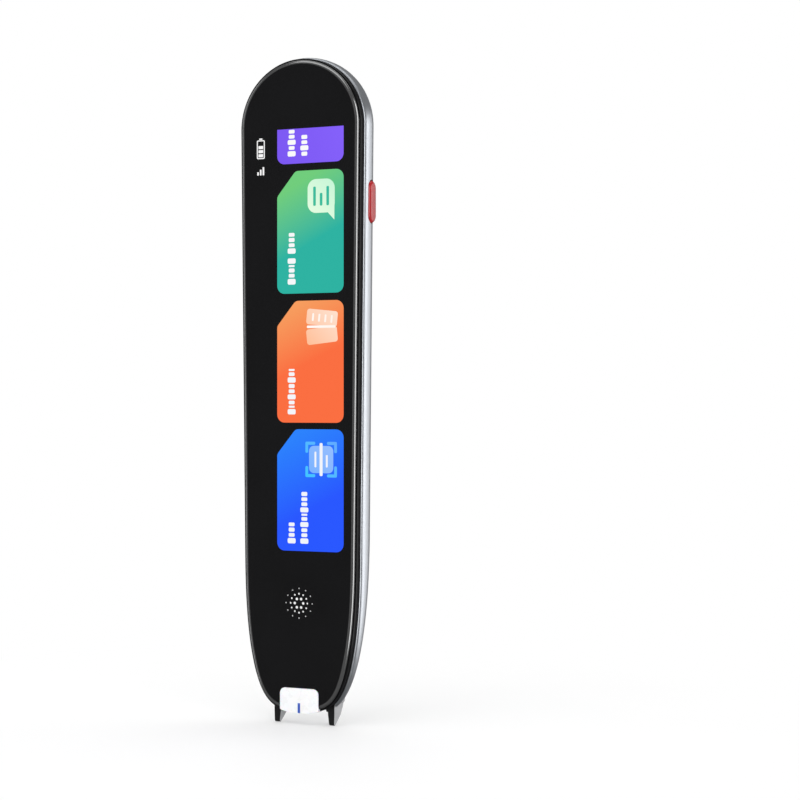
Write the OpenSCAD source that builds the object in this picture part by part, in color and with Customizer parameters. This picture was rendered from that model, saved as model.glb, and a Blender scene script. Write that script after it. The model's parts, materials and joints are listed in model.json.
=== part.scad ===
// Handheld translation pen: a slim casing with a glass front, a camera island and charging
// contacts at the back, a side button, and a sprung scan foot beside the white nose window.
// Inside this file x runs across the pen, d is the depth behind the front glass and h is the
// height above the nose. casing_frame() moves that to the part's own frame.

/* [Casing outline] */
// Height from the nose to the top of the dome
case_len = 160; // [150:1:180]
// Radius of the dome at the top
dome_r = 17.2; // [16.5:0.1:20]
// Half-width that the straight sides would have at the nose
nose_half_w = 15.7; // [15:0.1:16.4]
// Height over which the outline closes round the nose
nose_len = 38; // [34:1:46]
// Superellipse power of the nose outline across the pen
nose_pow_x = 3.74; // [3:0.02:4.5]
// Superellipse power of the nose outline along the pen
nose_pow_h = 2.34; // [2:0.02:3]
// Height of the point that the nose closes round
nose_centre = 16; // [12:0.5:20]

/* [Casing depth] */
// Depth from the front glass to the back
full_depth = 12.2; // [11.8:0.1:14]
// Depth at which the casing is widest
belly_depth = 4.5; // [4:0.1:5.5]
// How much thinner the casing is at the nose
nose_thin = 4.8; // [3.5:0.1:5]
// Height over which the casing thins towards the nose
nose_thin_len = 42; // [36:1:55]
// Power of the thinning
nose_thin_pow = 1.3; // [1.1:0.05:2]
// Superellipse power of the rounded back
back_pow = 2.5; // [2.2:0.1:3]
// Wall of the rear shell
wall = 1.1; // [0.9:0.1:1.3]
// Depth of the rear shell's rim
rim_depth = 2.2; // [2:0.1:2.6]
// How far the rim is tucked in from the widest outline
rim_tuck = 0.5; // [0.3:0.05:0.7]

/* [Front glass and bezel] */
// Thickness of the cover glass
glass_t = 0.9; // [0.7:0.05:1.1]
// Inset of the glass edge from the widest outline
glass_inset = 1.08; // [0.9:0.02:1.4]
// Width of the curved edge of the glass
glass_curve_w = 0.85; // [0.5:0.05:1.2]
// Depth of the curved edge of the glass
glass_curve_d = 0.5; // [0.3:0.05:0.6]
// Inset of the bezel's outer face
bezel_inset = 0.6; // [0.5:0.05:0.8]
// Depth at which the bezel's lip starts beside the glass
bezel_lip_d = 0.7; // [0.5:0.05:0.9]
// Width of the adhesive tape round the glass
tape_w = 1.0; // [0.6:0.1:1.4]
// Thickness of the adhesive tape
tape_t = 0.1; // [0.05:0.05:0.2]
// Distance of the tape from the edge of the glass
tape_edge = 0.15; // [0.05:0.05:0.3]
// Gap between the glass and the bezel
glass_gap = 0.06; // [0.04:0.01:0.08]
// Inset of the mid frame's skirt, which plugs into the rear shell
skirt_inset = 1.8; // [1.7:0.05:2.2]
// Thickness of the skirt
skirt_t = 0.9; // [0.6:0.1:1.2]
// Depth of the skirt's lower edge
skirt_depth = 3.9; // [3.6:0.1:4]
// Thickness of the mid frame's floor
floor_t = 0.6; // [0.5:0.05:0.8]

/* [Screen] */
// Width of the display panel
screen_w = 26; // [24:0.5:26.4]
// Height of the display panel's lower edge above the nose
screen_low = 37; // [36:0.5:42]
// Distance of the display panel's upper edge from the top of the dome
screen_drop = 16; // [15:0.5:24]
// Thickness of the display panel
screen_t = 1.3; // [1:0.1:1.4]
// Thickness of the display's metal back plate
plate_t = 0.3; // [0.2:0.05:0.4]
// Clearance round the display panel
screen_gap = 0.3; // [0.2:0.05:0.5]
// Width of the display's ribbon
ribbon_w = 9; // [6:0.5:12]
// Thickness of the display's ribbon
ribbon_t = 0.15; // [0.1:0.05:0.2]
// Length of the display's back that the ribbon is bonded to
ribbon_bond = 2.1; // [1.5:0.1:3]
// Distance of the ribbon's fold from the display's upper edge
ribbon_fold = 1; // [0.8:0.1:1.5]

/* [Circuit board] */
// Distance of the main board's long edges from the widest outline
board_edge = 3.7; // [3.5:0.1:4.2]
// Distance of the main board's upper edge from the top of the dome
board_drop = 25.5; // [24.5:0.1:26]
// Length of the main board
board_len = 35.5; // [34:0.5:36.5]
// Thickness of the main board
board_t = 0.8; // [0.6:0.1:1]
// Height of the bosses between the mid frame's floor and the main board
boss_h = 1.0; // [0.8:0.1:1.2]
// Radius of the bosses
boss_r = 1.3; // [1.1:0.1:1.6]
// Radius of the board screws
screw_r = 0.5; // [0.4:0.05:0.6]
// Radius of the board screws' heads
screw_head_r = 1.0; // [0.8:0.05:1.2]
// Height of the board screws' heads
screw_head_t = 0.5; // [0.4:0.05:0.6]
// Distance of the board screws from the board's edges
screw_edge = 1.9; // [1.7:0.1:2.2]
// Processor: width, length, height
processor_size = [9, 9, 1.1]; // [0.5:0.1:10]
// Memory chip: width, length, height
memory_size = [7, 7.5, 1]; // [0.5:0.1:8]
// Power chip: width, length, height
power_size = [4, 4, 0.8]; // [0.5:0.1:6]
// Wireless shield can: width, length, height
can_size = [9, 8.4, 1.5]; // [0.8:0.1:9.5]
// Sheet of the wireless shield can
can_wall = 0.2; // [0.1:0.05:0.3]
// Battery socket: width, length, height
battery_socket_size = [5, 2.8, 1.2]; // [0.8:0.1:8]
// Socket of the flexible wiring: width, length, height
flex_socket_size = [6, 1.5, 0.9]; // [0.8:0.1:8]
// Microphone: width, length, height
mic_size = [3, 3.5, 1]; // [0.8:0.1:4]

/* [Battery] */
// Width of the battery cell
cell_w = 22; // [18:0.5:23]
// Thickness of the battery cell
cell_t = 4.8; // [3.5:0.1:5]
// Height of the battery cell's lower edge above the nose
cell_low = 38; // [37:0.5:45]
// Gap between the battery's protection board and the main board
battery_gap = 4; // [3:0.5:10]
// Thickness of the battery's adhesive pad
pad_t = 0.2; // [0.1:0.05:0.3]
// Distance of the adhesive pad from the cell's edges
pad_edge = 1.5; // [1:0.1:3]
// Length of the battery's protection board
guard_len = 3; // [2:0.5:3.5]
// Thickness of the battery's protection board
guard_t = 0.8; // [0.6:0.1:1]
// Radius of the battery's wires
wire_r = 0.35; // [0.25:0.05:0.45]

/* [Speaker] */
// Height of the speaker's centre above the nose
speaker_h = 26.9; // [26:0.1:28]
// Width of the speaker
speaker_w = 15; // [12:0.5:17]
// Length of the speaker
speaker_len = 11; // [9.5:0.5:12]
// Thickness of the speaker
speaker_t = 3; // [2.5:0.1:3.5]
// Radius of the sound port behind the grille
port_r = 4.3; // [4.2:0.05:4.6]
// Wall of the foam ring round the sound port
foam_wall = 0.6; // [0.4:0.1:0.8]
// Radii of the three rings of grille holes
grille_ring_r = [1.17, 2.3, 3.6]; // [1:0.05:3.8]
// Radii of the holes in those rings
grille_hole_r = [0.35, 0.25, 0.2]; // [0.2:0.05:0.4]
// Number of holes in those rings
grille_count = [6, 12, 12]; // [6:6:12]
// Thickness of the mesh behind the grille
mesh_t = 0.15; // [0.1:0.05:0.3]

/* [Camera island] */
// Distance of the island's centre from the top of the dome
island_drop = 23.2; // [22:0.1:26]
// Width of the island's trim ring
island_w = 11.9; // [11:0.1:13]
// Length of the island's trim ring
island_len = 28.3; // [26:0.1:30]
// Width of the trim ring's band
trim_w = 0.65; // [0.4:0.05:0.9]
// How far the raised plateau stands above the back
plateau_rise = 0.55; // [0.3:0.05:0.8]
// Width of the flat land of the plateau outside the trim ring
plateau_land = 0.5; // [0.3:0.05:0.8]
// Width of the plateau's soft slope
plateau_slope = 5.4; // [2:0.1:7]
// How far the trim ring stands above the plateau
trim_rise = 0.2; // [0.1:0.05:0.3]
// Thickness of the island's window
window_t = 1.0; // [0.8:0.05:1.2]
// How far the window lies below the trim ring
window_sink = 0.08; // [0.02:0.02:0.2]
// Width of the ledge that carries the window
ledge_w = 1.1; // [0.8:0.1:1.4]
// Distance of the camera's axis from the island's lower end
camera_edge = 5.55; // [5.2:0.05:6.5]
// Outer radius of the camera's coloured ring
camera_ring_r = 2.45; // [2:0.05:2.8]
// Radius of the camera's lens
camera_lens_r = 1.25; // [0.9:0.05:1.5]
// Side of the camera module's base
camera_base_w = 8.4; // [7:0.1:9]
// Thickness of the camera module's base
camera_base_t = 3.6; // [3:0.1:4]
// Wall of the camera's barrel outside the coloured ring
barrel_wall = 0.7; // [0.5:0.1:1]
// Radius of the lens's curved front
lens_curve_r = 2.2; // [1.8:0.1:3]

/* [Charging contacts] */
// Distance of the contact plate's centre from the island's upper end
contact_edge = 9.05; // [8:0.05:10]
// Width of the contact plate
contact_w = 2.7; // [2.4:0.1:3.2]
// Length of the contact plate
contact_len = 10; // [9.4:0.1:11]
// Number of contacts
contact_count = 6; // [4:1:6]
// Distance between the contacts
contact_pitch = 1.5; // [1.3:0.05:1.5]
// Radius of the well round each contact
well_r = 0.55; // [0.45:0.05:0.6]
// Radius of each contact
pin_r = 0.3; // [0.2:0.05:0.35]
// How far the contacts lie below the plate
pin_sink = 0.25; // [0.1:0.05:0.4]
// Thickness of the contact plate
contact_t = 1.9; // [1.5:0.1:2]
// Thickness of the small boards
small_board_t = 0.6; // [0.5:0.1:0.8]
// Radius of the holding magnets
magnet_r = 1.2; // [0.8:0.1:1.3]
// Floor of the wells round the contacts
well_floor = 0.3; // [0.2:0.05:0.5]
// Width of the contact board
contact_board_w = 8; // [7:0.1:8.4]

/* [Side button] */
// Distance of the side button's centre from the top of the dome
button_drop = 35.7; // [34:0.1:40]
// Depth of the side button's centre
button_d = 5.7; // [5.65:0.05:5.75]
// Length of the side button
button_len = 10.4; // [8:0.1:12]
// Width of the side button
button_w = 3.9; // [3.4:0.1:4]
// How far the side button stands proud
button_proud = 0.55; // [0.4:0.05:0.7]
// Travel of the side button
button_travel = 0.3; // [0.2:0.05:0.3]
// Gap round the side button
button_gap = 0.12; // [0.08:0.02:0.2]
// Width of the side button's hidden flange
flange_w = 0.3; // [0.2:0.05:0.4]
// Thickness of the side button's hidden flange
flange_t = 0.4; // [0.3:0.05:0.5]
// Radius of the side button's rounded edge
button_round = 0.95; // [0.6:0.05:1.2]
// Radius of the stem behind the side button
stem_r = 0.6; // [0.5:0.05:0.7]
// Length of that stem
stem_len = 0.7; // [0.5:0.05:0.9]
// Room between the shell's wall and the side button's flange
flange_room = 0.25; // [0.2:0.05:0.4]
// Side of the tact switch behind the side button
tact_w = 2.4; // [2:0.1:2.8]
// Length of the tact switch along the pen
tact_len = 4; // [3:0.1:5]
// Height of the tact switch
tact_t = 1.4; // [1.3:0.05:1.6]
// Radius of the switch plungers
plunger_r = 0.42; // [0.3:0.02:0.46]
// How far a plunger reaches into its switch
plunger_hold = 0.6; // [0.5:0.05:0.7]
// How far a plunger still stands out of its switch when it is pressed
plunger_show = 0.35; // [0.3:0.05:0.4]

/* [Nose] */
// Half-width of the black scan frame
frame_half_w = 7.05; // [6.9:0.05:7.4]
// Height of the scan frame's upper edge above the nose
frame_top = 15.9; // [14.5:0.1:16.5]
// Corner radius of the scan frame
frame_corner_r = 1.1; // [0.8:0.1:1.5]
// Wall between the scan frame's edge and its recess
recess_wall = 0.75; // [0.5:0.05:1]
// Height of the recess's lower edge above the nose
recess_low = 6.3; // [6.1:0.1:7]
// Depth of the recess's floor behind the front glass
recess_depth = 7.0; // [6.9:0.1:7.2]
// Height of the inner panel on the recess's floor
panel_rise = 0.2; // [0.1:0.05:0.3]
// Inset of the inner panel from the recess
panel_inset = 1.3; // [1:0.1:1.8]
// Thickness of the scan frame's floor
frame_floor_t = 0.8; // [0.6:0.05:0.8]
// Half-width of the nose window
window_half_w = 5.3; // [5:0.05:5.4]
// Height of the nose window's upper edge at the front
window_top = 6.2; // [5.6:0.1:6.6]
// Corner radius of the nose window at the front
window_corner_r = 1.4; // [1:0.1:2]
// Height of the nose window's upper edge at the back
rear_window_top = 5.4; // [5:0.1:5.6]
// Corner radius of the nose window at the back
rear_corner_r = 1.7; // [1.2:0.1:2.2]
// Radius of the nose window's curved lower edge
nose_arc_r = 17.5; // [15:0.5:20]
// Wall of the nose window
window_wall = 1.0; // [0.8:0.1:1.1]
// Width of the line marks on the nose window
mark_w = 0.6; // [0.4:0.05:0.9]
// Length of the line marks on the nose window
mark_len = 2.35; // [1.5:0.05:3]
// Height of the line marks' lower end above the nose
mark_low = 0.25; // [0.2:0.05:1]
// Thickness of the line marks
mark_t = 0.06; // [0.04:0.01:0.1]
// Width of the scan opening under the nose
scan_w = 8.4; // [6:0.1:8.6]
// Depth of the scan opening's front edge
scan_front = 1.6; // [1.4:0.1:2]
// Depth of the scan opening's rear edge
scan_rear = 4.2; // [4:0.1:5]
// Thickness of the pane in the scan opening
pane_t = 0.6; // [0.5:0.05:0.8]

/* [Scanner] */
// Half-width of the scanner's board
scan_board_half_w = 9.3; // [9:0.1:9.6]
// Height of the scanner board's lower edge above the nose
scan_board_low = 7.3; // [7.2:0.1:7.6]
// Height of the scanner board's upper edge above the nose
scan_board_top = 19.5; // [18.5:0.5:20.4]
// Width of the scan camera
scan_cam_w = 6.4; // [5.5:0.1:7]
// Length of the scan camera
scan_cam_len = 6; // [5:0.1:7]
// Thickness of the scan camera
scan_cam_t = 2.3; // [2:0.1:2.4]
// Radius of the scan camera's lens
scan_lens_r = 0.9; // [0.7:0.05:1.1]
// How deep the scan camera's lens sits in the camera
scan_lens_seat = 0.8; // [0.6:0.1:1]
// How far the scan camera's lens stands proud
scan_lens_proud = 0.15; // [0.05:0.05:0.3]
// Side of each scan lamp
lamp_w = 1.6; // [1.2:0.1:2]
// Thickness of each scan lamp
lamp_t = 0.7; // [0.5:0.1:0.9]
// Distance of the scan lamps from the pen's middle
lamp_x = 4.6; // [4.4:0.1:5]

/* [Scan foot] */
// Depth of the scan foot's hinge line
hinge_d = 7.0; // [6.8:0.05:7.2]
// Height of the scan foot's hinge line above the nose
hinge_h = 3.4; // [3.3:0.05:3.5]
// Radius of the hinge knuckles
knuckle_r = 1.05; // [0.9:0.05:1.1]
// Radius of the hinge pins
hinge_pin_r = 0.45; // [0.35:0.05:0.5]
// Radial clearance of the knuckles on the hinge pins
hinge_fit = 0.03; // [0.02:0.01:0.06]
// Distance of the knuckles' inner end from the pen's middle
knuckle_in = 6.27; // [6.25:0.01:6.3]
// Distance of the knuckles' outer end from the pen's middle
knuckle_out = 8.53; // [8.5:0.01:8.6]
// Thickness of the knuckles' closed outer ends
knuckle_cap = 0.25; // [0.2:0.05:0.4]
// Half-width of the gap in the casing that the legs stand in
leg_gap_half_w = 8.75; // [8.7:0.05:9]
// Height of that gap's upper edge above the nose
leg_gap_top = 4.75; // [4.7:0.05:5]
// Reach of the legs below the nose
leg_reach = 2.8; // [2:0.1:3.5]
// Depth of the legs' front edge
leg_front = 2.75; // [2.6:0.05:3]
// Width of each leg
leg_w = 1.8; // [1.4:0.1:2]
// Width of a leg's tip
leg_tip_w = 1.35; // [1:0.05:1.6]
// Depth of the front edge of the legs' ears
ear_front = 3.0; // [2.9:0.05:3.2]
// Depth of the yoke's front face
yoke_front = 4.2; // [4:0.05:4.3]
// Depth of the yoke's rear face
yoke_rear = 5.2; // [5:0.05:5.3]
// Height of the yoke
yoke_t = 0.95; // [0.8:0.05:1]
// Depth of the trigger switch's plunger
trigger_d = 3.75; // [3.7:0.01:3.8]
// Side of the trigger switch
trigger_w = 2.2; // [2:0.1:2.4]
// Length of the trigger switch
trigger_len = 1.8; // [1.6:0.1:2]
// Thickness of the trigger switch
trigger_t = 1.2; // [1.1:0.05:1.3]
// Mean radius of the foot spring
spring_r = 0.6; // [0.5:0.05:0.65]
// Radius of the foot spring's wire
spring_wire_r = 0.11; // [0.08:0.01:0.13]
// Distance between the foot spring's turns
spring_pitch = 0.4; // [0.35:0.05:0.5]
// Turns of the foot spring
spring_turns = 4; // [3:1:5]
// Travel of the scan foot in degrees
foot_travel = 6; // [3:0.5:6]

/* [Fits] */
// Gap between pieces that lie side by side
gap = 0.1; // [0.05:0.01:0.15]
// Radial clearance of the switch plungers
plunger_fit = 0.04; // [0.02:0.01:0.06]
// Gap between a plunger and what presses it
press_gap = 0.05; // [0.03:0.01:0.08]
// Depth left in a switch's bore below the pressed plunger
bore_spare = 0.2; // [0.1:0.05:0.25]
// Gap between the hinge arms and the knuckles beside them
arm_gap = 0.07; // [0.05:0.01:0.1]

/* [Hidden] */
$fn = 48;
eps = 0.01;
cut = 1;                                   // how far a cutting tool runs past its piece
dome_centre = case_len - dome_r;
taper = (dome_r - nose_half_w) / dome_centre;

// depths of the layers behind the glass
screen_d = glass_t + tape_t;
plate_d = screen_d + screen_t;
floor_d = plate_d + plate_t;
deck_d = floor_d + floor_t;                // rear face of the mid frame's floor
board_d = deck_d + boss_h;
chip_d = board_d + board_t;                // rear face of the main board

// heights
board_w = 2 * (dome_r - board_edge);
board_top = case_len - board_drop;
board_low = board_top - board_len;
screen_top = case_len - screen_drop;
fold_h = screen_top - ribbon_fold;         // height of the ribbon's fold
ribbon_slot_room = 0.5;                    // room beyond the fold in the mid frame's slot
cell_d = deck_d + pad_t;
cell_top = board_low - battery_gap - guard_len;
wire_rise = 0.8;
wire_low = cell_top + wire_rise;           // lower end of the battery's wires
guard_edge = 3;                            // distance of the protection board from the cell's sides
wire_x = 1.2;
island_h = case_len - island_drop;
camera_h = island_h - island_len / 2 + camera_edge;
contact_h = island_h + island_len / 2 - contact_edge;
button_h = case_len - button_drop;

// places of the parts on the board
socket_edge = 0.4;
part_gap = 0.4;
left_edge = 3;
processor_up = socket_edge + battery_socket_size.y + part_gap;
can_up = processor_up + processor_size.y + part_gap;
can_x = 4.6;
processor_x = -2.5;
power_x = 5.5;
memory_up = can_up + 1;
mic_up = can_up + can_size.y + 4;
antenna_w = 15;
antenna_len = 4;
antenna_t = 0.2;
antenna_rise = 5.5;
antenna_low = dome_centre + antenna_rise;

// island levels
plateau_d = full_depth + plateau_rise;
trim_d = plateau_d + trim_rise;            // outer face of the trim ring
island_d = trim_d - window_sink;           // outer face of the island's window
ledge_d = island_d - window_t;
camera_seat_d = chip_d + camera_base_t;
barrel_floor = 1;
contact_rim = 1;                           // how far the contact board reaches past the plate
lens_seat = 0.8;                           // how far the lens reaches into the barrel
lens_crown = lens_seat + window_t - gap;   // top of the lens, just below the ring's face
contact_back_d = island_d - contact_t;
island_hole_d = full_depth - 3 * wall;     // depth from which the island's opening is cut

// side button levels
button_face = side_x(button_h, button_d) + button_proud;
skirt_x = side_x(button_h, 0) - skirt_inset - skirt_t / 2;  // the skirt's middle at the button
notch_len = button_len + 2 * flange_w + 4 * gap;            // opening in the skirt for the button
flange_face = side_x(button_h, button_d + button_w / 2 + flange_w, wall) - flange_room;
button_back = flange_face - flange_t;
stem_end = button_back - stem_len;
tact_face = stem_end - press_gap - button_travel - plunger_show;
tact_bore = plunger_hold + button_travel + bore_spare;

// scan foot levels
leg_x = (knuckle_in + knuckle_out) / 2;
leg_tip_x = leg_x + 0.125;                 // the legs' tips lean outwards a little
yoke_low = rear_window_top + press_gap;
yoke_top = yoke_low + yoke_t;              // top of the yoke and of the legs' ears
foot_room = (hinge_d - ear_front) * sin(foot_travel) + gap;
trigger_travel = (hinge_d - trigger_d) * foot_travel * PI / 180;
trigger_low = yoke_top + press_gap;
trigger_body_low = trigger_low + trigger_travel + plunger_show;
trigger_bore = plunger_hold + trigger_travel + bore_spare;
arm_out = knuckle_in - arm_gap;            // outer face of the hinge arms
arm_in = window_half_w + arm_gap + gap;

// recess of the scan frame
recess_half_w = frame_half_w - recess_wall;
recess_top = frame_top - recess_wall;
recess_round = 0.8;
panel_round = 0.5;
scan_cam_low = scan_board_low + 2.2;
lamp_low = scan_board_low + 0.2;

// how finely the casing's curves are drawn
nose_steps = 11;
dome_steps = 9;
outer_side_steps = 3;
outer_back_steps = 11;
inner_back_steps = 7;
glass_curve_steps = 4;
nose_profile_steps = 10;

// ---- casing surface -------------------------------------------------------------------

// depth of the back at height h, before the plateau and the rounding
function back_at(h) = full_depth - nose_thin * pow(max(0, 1 - h / nose_thin_len), nose_thin_pow);

// depth of the widest line at height h
function belly_at(h) = belly_depth * back_at(h) / full_depth;

// height of the spine point that the outline point at height h closes towards
function spine_h(h) = min(max(h, nose_centre), dome_centre);

// half-width of the casing beside the button, at height h and depth d behind the belly
function side_x(h, d, inset = 0) =
    let (t = max(0, d - belly_depth) / (full_depth - belly_depth - inset))
    (nose_half_w + taper * h - inset) * pow(1 - pow(t, back_pow), 1 / back_pow);

// right half of the outline, from the nose to the dome, as [x, h]
side_rows = concat(
    [for (h = [nose_len + 12 : 15 : camera_h - 15]) h],
    [for (h = [camera_h - 10 : 3 : dome_centre - 1.5]) h]
);
right_side = concat(
    [for (k = [0 : nose_steps])
        let (t = 90 * pow(k / nose_steps, 1.5),
             h = nose_len * (1 - pow(cos(t), 2 / nose_pow_h)))
        [(nose_half_w + taper * h) * pow(sin(t), 2 / nose_pow_x), h]],
    [for (h = side_rows) [nose_half_w + taper * h, h]],
    [for (k = [0 : dome_steps])
        let (a = 90 * k / dome_steps)
        [dome_r * (k == dome_steps ? 0 : cos(a)), dome_centre + dome_r * sin(a)]]
);
half_count = len(right_side) - 1;
outline = concat(
    right_side,
    [for (i = [half_count - 1 : -1 : 1]) [-right_side[i].x, right_side[i].y]]
);
count = len(outline);

// point that lies on the line from outline point p to its spine point, as [x, h]
function toward_spine(p, inset, q = 1) = let (
        s = [0, spine_h(p.y)],
        reach = norm(p - s),
        r = (reach - inset) * q / reach)
    s + (p - s) * r;

function outline_at(inset) = [for (p = outline) toward_spine(p, inset)];

// distance of [x, h] outside an upright stadium of width w and length l at height c
function stadium_gap(x, h, w, l, c) =
    norm([x, max(0, abs(h - c) - (l - w) / 2)]) - w / 2;

function smooth(t) = let (u = min(max(t, 0), 1)) u * u * (3 - 2 * u);

// depth of the back surface raised to the island's plateau
function with_plateau(x, h, d) = let (
        outside = stadium_gap(x, h, island_w, island_len, island_h) - plateau_land,
        lift = 1 - smooth(outside / plateau_slope))
    d + (plateau_d - d) * lift;

// one ring of the casing's surface between the rim and the widest line, v from 0 to 1
function side_ring(v, inset) = [for (p = outline)
    let (q = toward_spine(p, inset + rim_tuck * (1 - sin(90 * v))), b = belly_at(q.y))
    [q.x, b - (b - rim_depth) * cos(90 * v), q.y]];

// depth of the rounded back at [x, h], angle a from 0 at the widest line to 90 on the spine
function rounded_depth(h, a, inset) = let (b = belly_at(h))
    b + (back_at(h) - inset - b) * pow(sin(a), 2 / back_pow);

// one ring of the casing's rounded back
function back_ring(a, inset, plateau) = [for (p = outline)
    let (q = toward_spine(p, inset, pow(cos(a), 2 / back_pow)), d = rounded_depth(q.y, a, inset))
    [q.x, plateau ? with_plateau(q.x, q.y, d) : d, q.y]];

// a ring at one depth
function flat_ring(inset, d) = [for (p = outline_at(inset)) [p.x, d, p.y]];

// spine points, one for each row between the two centres
spine_rows = concat(
    [nose_centre],
    [for (p = right_side) if (p.y > nose_centre && p.y < dome_centre - eps) p.y],
    [dome_centre]
);
nose_rows = len([for (p = right_side) if (p.y <= nose_centre) p]);
function spine_index(i) = let (k = min(i, count - i))
    min(max(k - nose_rows + 1, 0), len(spine_rows) - 1);
function back_spine(inset, plateau) = [for (h = spine_rows)
    let (d = rounded_depth(h, 90, inset)) [0, plateau ? with_plateau(0, h, d) : d, h]];
function flat_spine(d) = [for (h = spine_rows) [0, d, h]];

// faces of a strip between two rings whose points start at a and b
function strip(a, b) = [for (i = [0 : count - 1]) let (j = (i + 1) % count)
    each [[a + i, b + j, a + j], [a + i, b + i, b + j]]];

// faces between the ring that starts at a and the spine that starts at s
function spine_cap(a, s, turn) = [for (i = [0 : count - 1])
    let (j = (i + 1) % count, u = s + spine_index(i), v = s + spine_index(j))
    each concat(
        [turn ? [a + i, u, a + j] : [a + i, a + j, u]],
        u == v ? [] : [turn ? [a + j, u, v] : [a + j, v, u]])];

// closed skin through the rings, capped at both ends by its spines
module skin(rings, spine_a, spine_b) {
    m = len(rings);
    first_a = m * count;
    first_b = first_a + len(spine_a);
    polyhedron(
        points = concat([for (r = rings) each r], spine_a, spine_b),
        faces = concat(
            [for (k = [0 : m - 2]) each strip(k * count, (k + 1) * count)],
            spine_cap(0, first_a, false),
            spine_cap((m - 1) * count, first_b, true)));
}

// the casing's outer surface, from the rim to the back
function outer_rings(plateau) = concat(
    [for (k = [0 : outer_side_steps - 1]) side_ring(k / outer_side_steps, 0)],
    [for (k = [0 : outer_back_steps - 1]) back_ring(90 * k / outer_back_steps, 0, plateau)]
);

// the rear shell's inner surface, from the back to the rim
function inner_rings() = concat(
    [for (k = [inner_back_steps - 1 : -1 : 0]) back_ring(90 * k / inner_back_steps, wall, false)],
    [side_ring(0.5, wall), side_ring(0, wall)]
);

// ---- helpers --------------------------------------------------------------------------

// moves casing coordinates to the part's frame: middle of the casing at the origin
module casing_frame() {
    translate([0, -full_depth / 2, -case_len / 2]) children();
}

// upright prism from depth d0 to d1 over a 2-D shape drawn in x and h
module plate(d0, d1) {
    translate([0, d1, 0]) rotate([90, 0, 0]) linear_extrude(d1 - d0) children();
}

// block of width w round x
module block(w, d0, d1, h0, h1, x = 0) {
    translate([x - w / 2, d0, h0]) cube([w, d1 - d0, h1 - h0]);
}

// round bar along the depth
module post(r, d0, d1, h, x = 0) {
    translate([x, d0, h]) rotate([-90, 0, 0]) cylinder(r = r, h = d1 - d0);
}

// upright stadium prism of width w and length l at height c
module stadium(w, l, d0, d1, c, x = 0) {
    block(w, d0, d1, c - (l - w) / 2, c + (l - w) / 2, x);
    for (s = [-1, 1]) post(w / 2, d0, d1, c + s * (l - w) / 2, x);
}

// rectangle with its upper corners rounded, standing on h0
module arch(half_w, h0, h1, r) {
    translate([-half_w, h0]) square([2 * half_w, h1 - r - h0]);
    translate([-half_w + r, h0]) square([2 * (half_w - r), h1 - h0]);
    for (s = [-1, 1]) translate([s * (half_w - r), h1 - r]) circle(r);
}

// closed casing body up to the front plane, for pieces that end flush with the casing
module casing_body() {
    skin(concat([flat_ring(rim_tuck, 0)], outer_rings(false)), flat_spine(0), back_spine(0, false));
}

module for_both_sides() {
    for (s = [0, 1]) mirror([s, 0, 0]) children();
}

// ---- front ----------------------------------------------------------------------------

glass_rings = concat(
    [for (k = [glass_curve_steps : -1 : 0]) let (a = 90 * k / glass_curve_steps)
        flat_ring(glass_inset + glass_curve_w * (1 - cos(a)), glass_curve_d * (1 - sin(a)))],
    [flat_ring(glass_inset, glass_t)]
);

module grille_holes() {
    for (k = [0 : len(grille_ring_r) - 1], i = [0 : grille_count[k] - 1])
        let (a = 360 * i / grille_count[k])
        post(grille_hole_r[k], -cut, glass_t + cut,
             speaker_h + grille_ring_r[k] * sin(a), grille_ring_r[k] * cos(a));
}

module cover_glass() color([0.06, 0.06, 0.065]) casing_frame() difference() {
    skin(glass_rings, flat_spine(0), flat_spine(glass_t));
    plate(-cut, glass_t + cut)
        arch(window_half_w + gap, -cut, window_top + gap, window_corner_r + gap);
    grille_holes();
}

module glass_tape() color([0.1, 0.1, 0.1]) casing_frame() difference() {
    plate(glass_t, screen_d) polygon(outline_at(glass_inset + tape_edge));
    plate(glass_t - cut, screen_d + cut) polygon(outline_at(glass_inset + tape_edge + tape_w));
    block(2 * (window_half_w + 1), 0, screen_d + cut, -cut, window_top + 1);
}

module mid_frame() color([0.08, 0.08, 0.085]) casing_frame() difference() {
    union() {
        plate(bezel_lip_d, screen_d) polygon(outline_at(bezel_inset));
        plate(screen_d, rim_depth) polygon(outline_at(bezel_inset));
        plate(rim_depth, skirt_depth) polygon(outline_at(skirt_inset));
        for (x = screw_xs(), h = screw_hs()) post(boss_r, deck_d - eps, board_d, h, x);
    }
    plate(-cut, screen_d) polygon(outline_at(glass_inset - glass_gap));
    block(screen_w + 2 * screen_gap, 0, floor_d, screen_low - screen_gap, screen_top + screen_gap);
    difference() {
        plate(deck_d, skirt_depth + cut) polygon(outline_at(skirt_inset + skirt_t));
        for (x = screw_xs(), h = screw_hs()) post(boss_r, deck_d - cut, board_d, h, x);
    }
    for (x = screw_xs(), h = screw_hs()) post(screw_r, deck_d + gap, board_d + cut, h, x);
    post(port_r + foam_wall, 0, deck_d + cut, speaker_h);
    block(ribbon_w + 2, floor_d - cut, deck_d + cut, fold_h - ribbon_bond, fold_h + ribbon_slot_room);
    block(2 * leg_gap_half_w, rim_depth, skirt_depth + cut, -cut, yoke_top + foot_room);
    block(2 * (window_half_w + gap), -cut, skirt_depth + cut, -cut, window_top + gap);
    block(2 * (scan_board_half_w + gap), deck_d - small_board_t, deck_d + cut,
          yoke_top, scan_board_top + gap);
    block(skirt_t + 4 * gap, deck_d, skirt_depth + cut,
          button_h - notch_len / 2, button_h + notch_len / 2, skirt_x);
}

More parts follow.
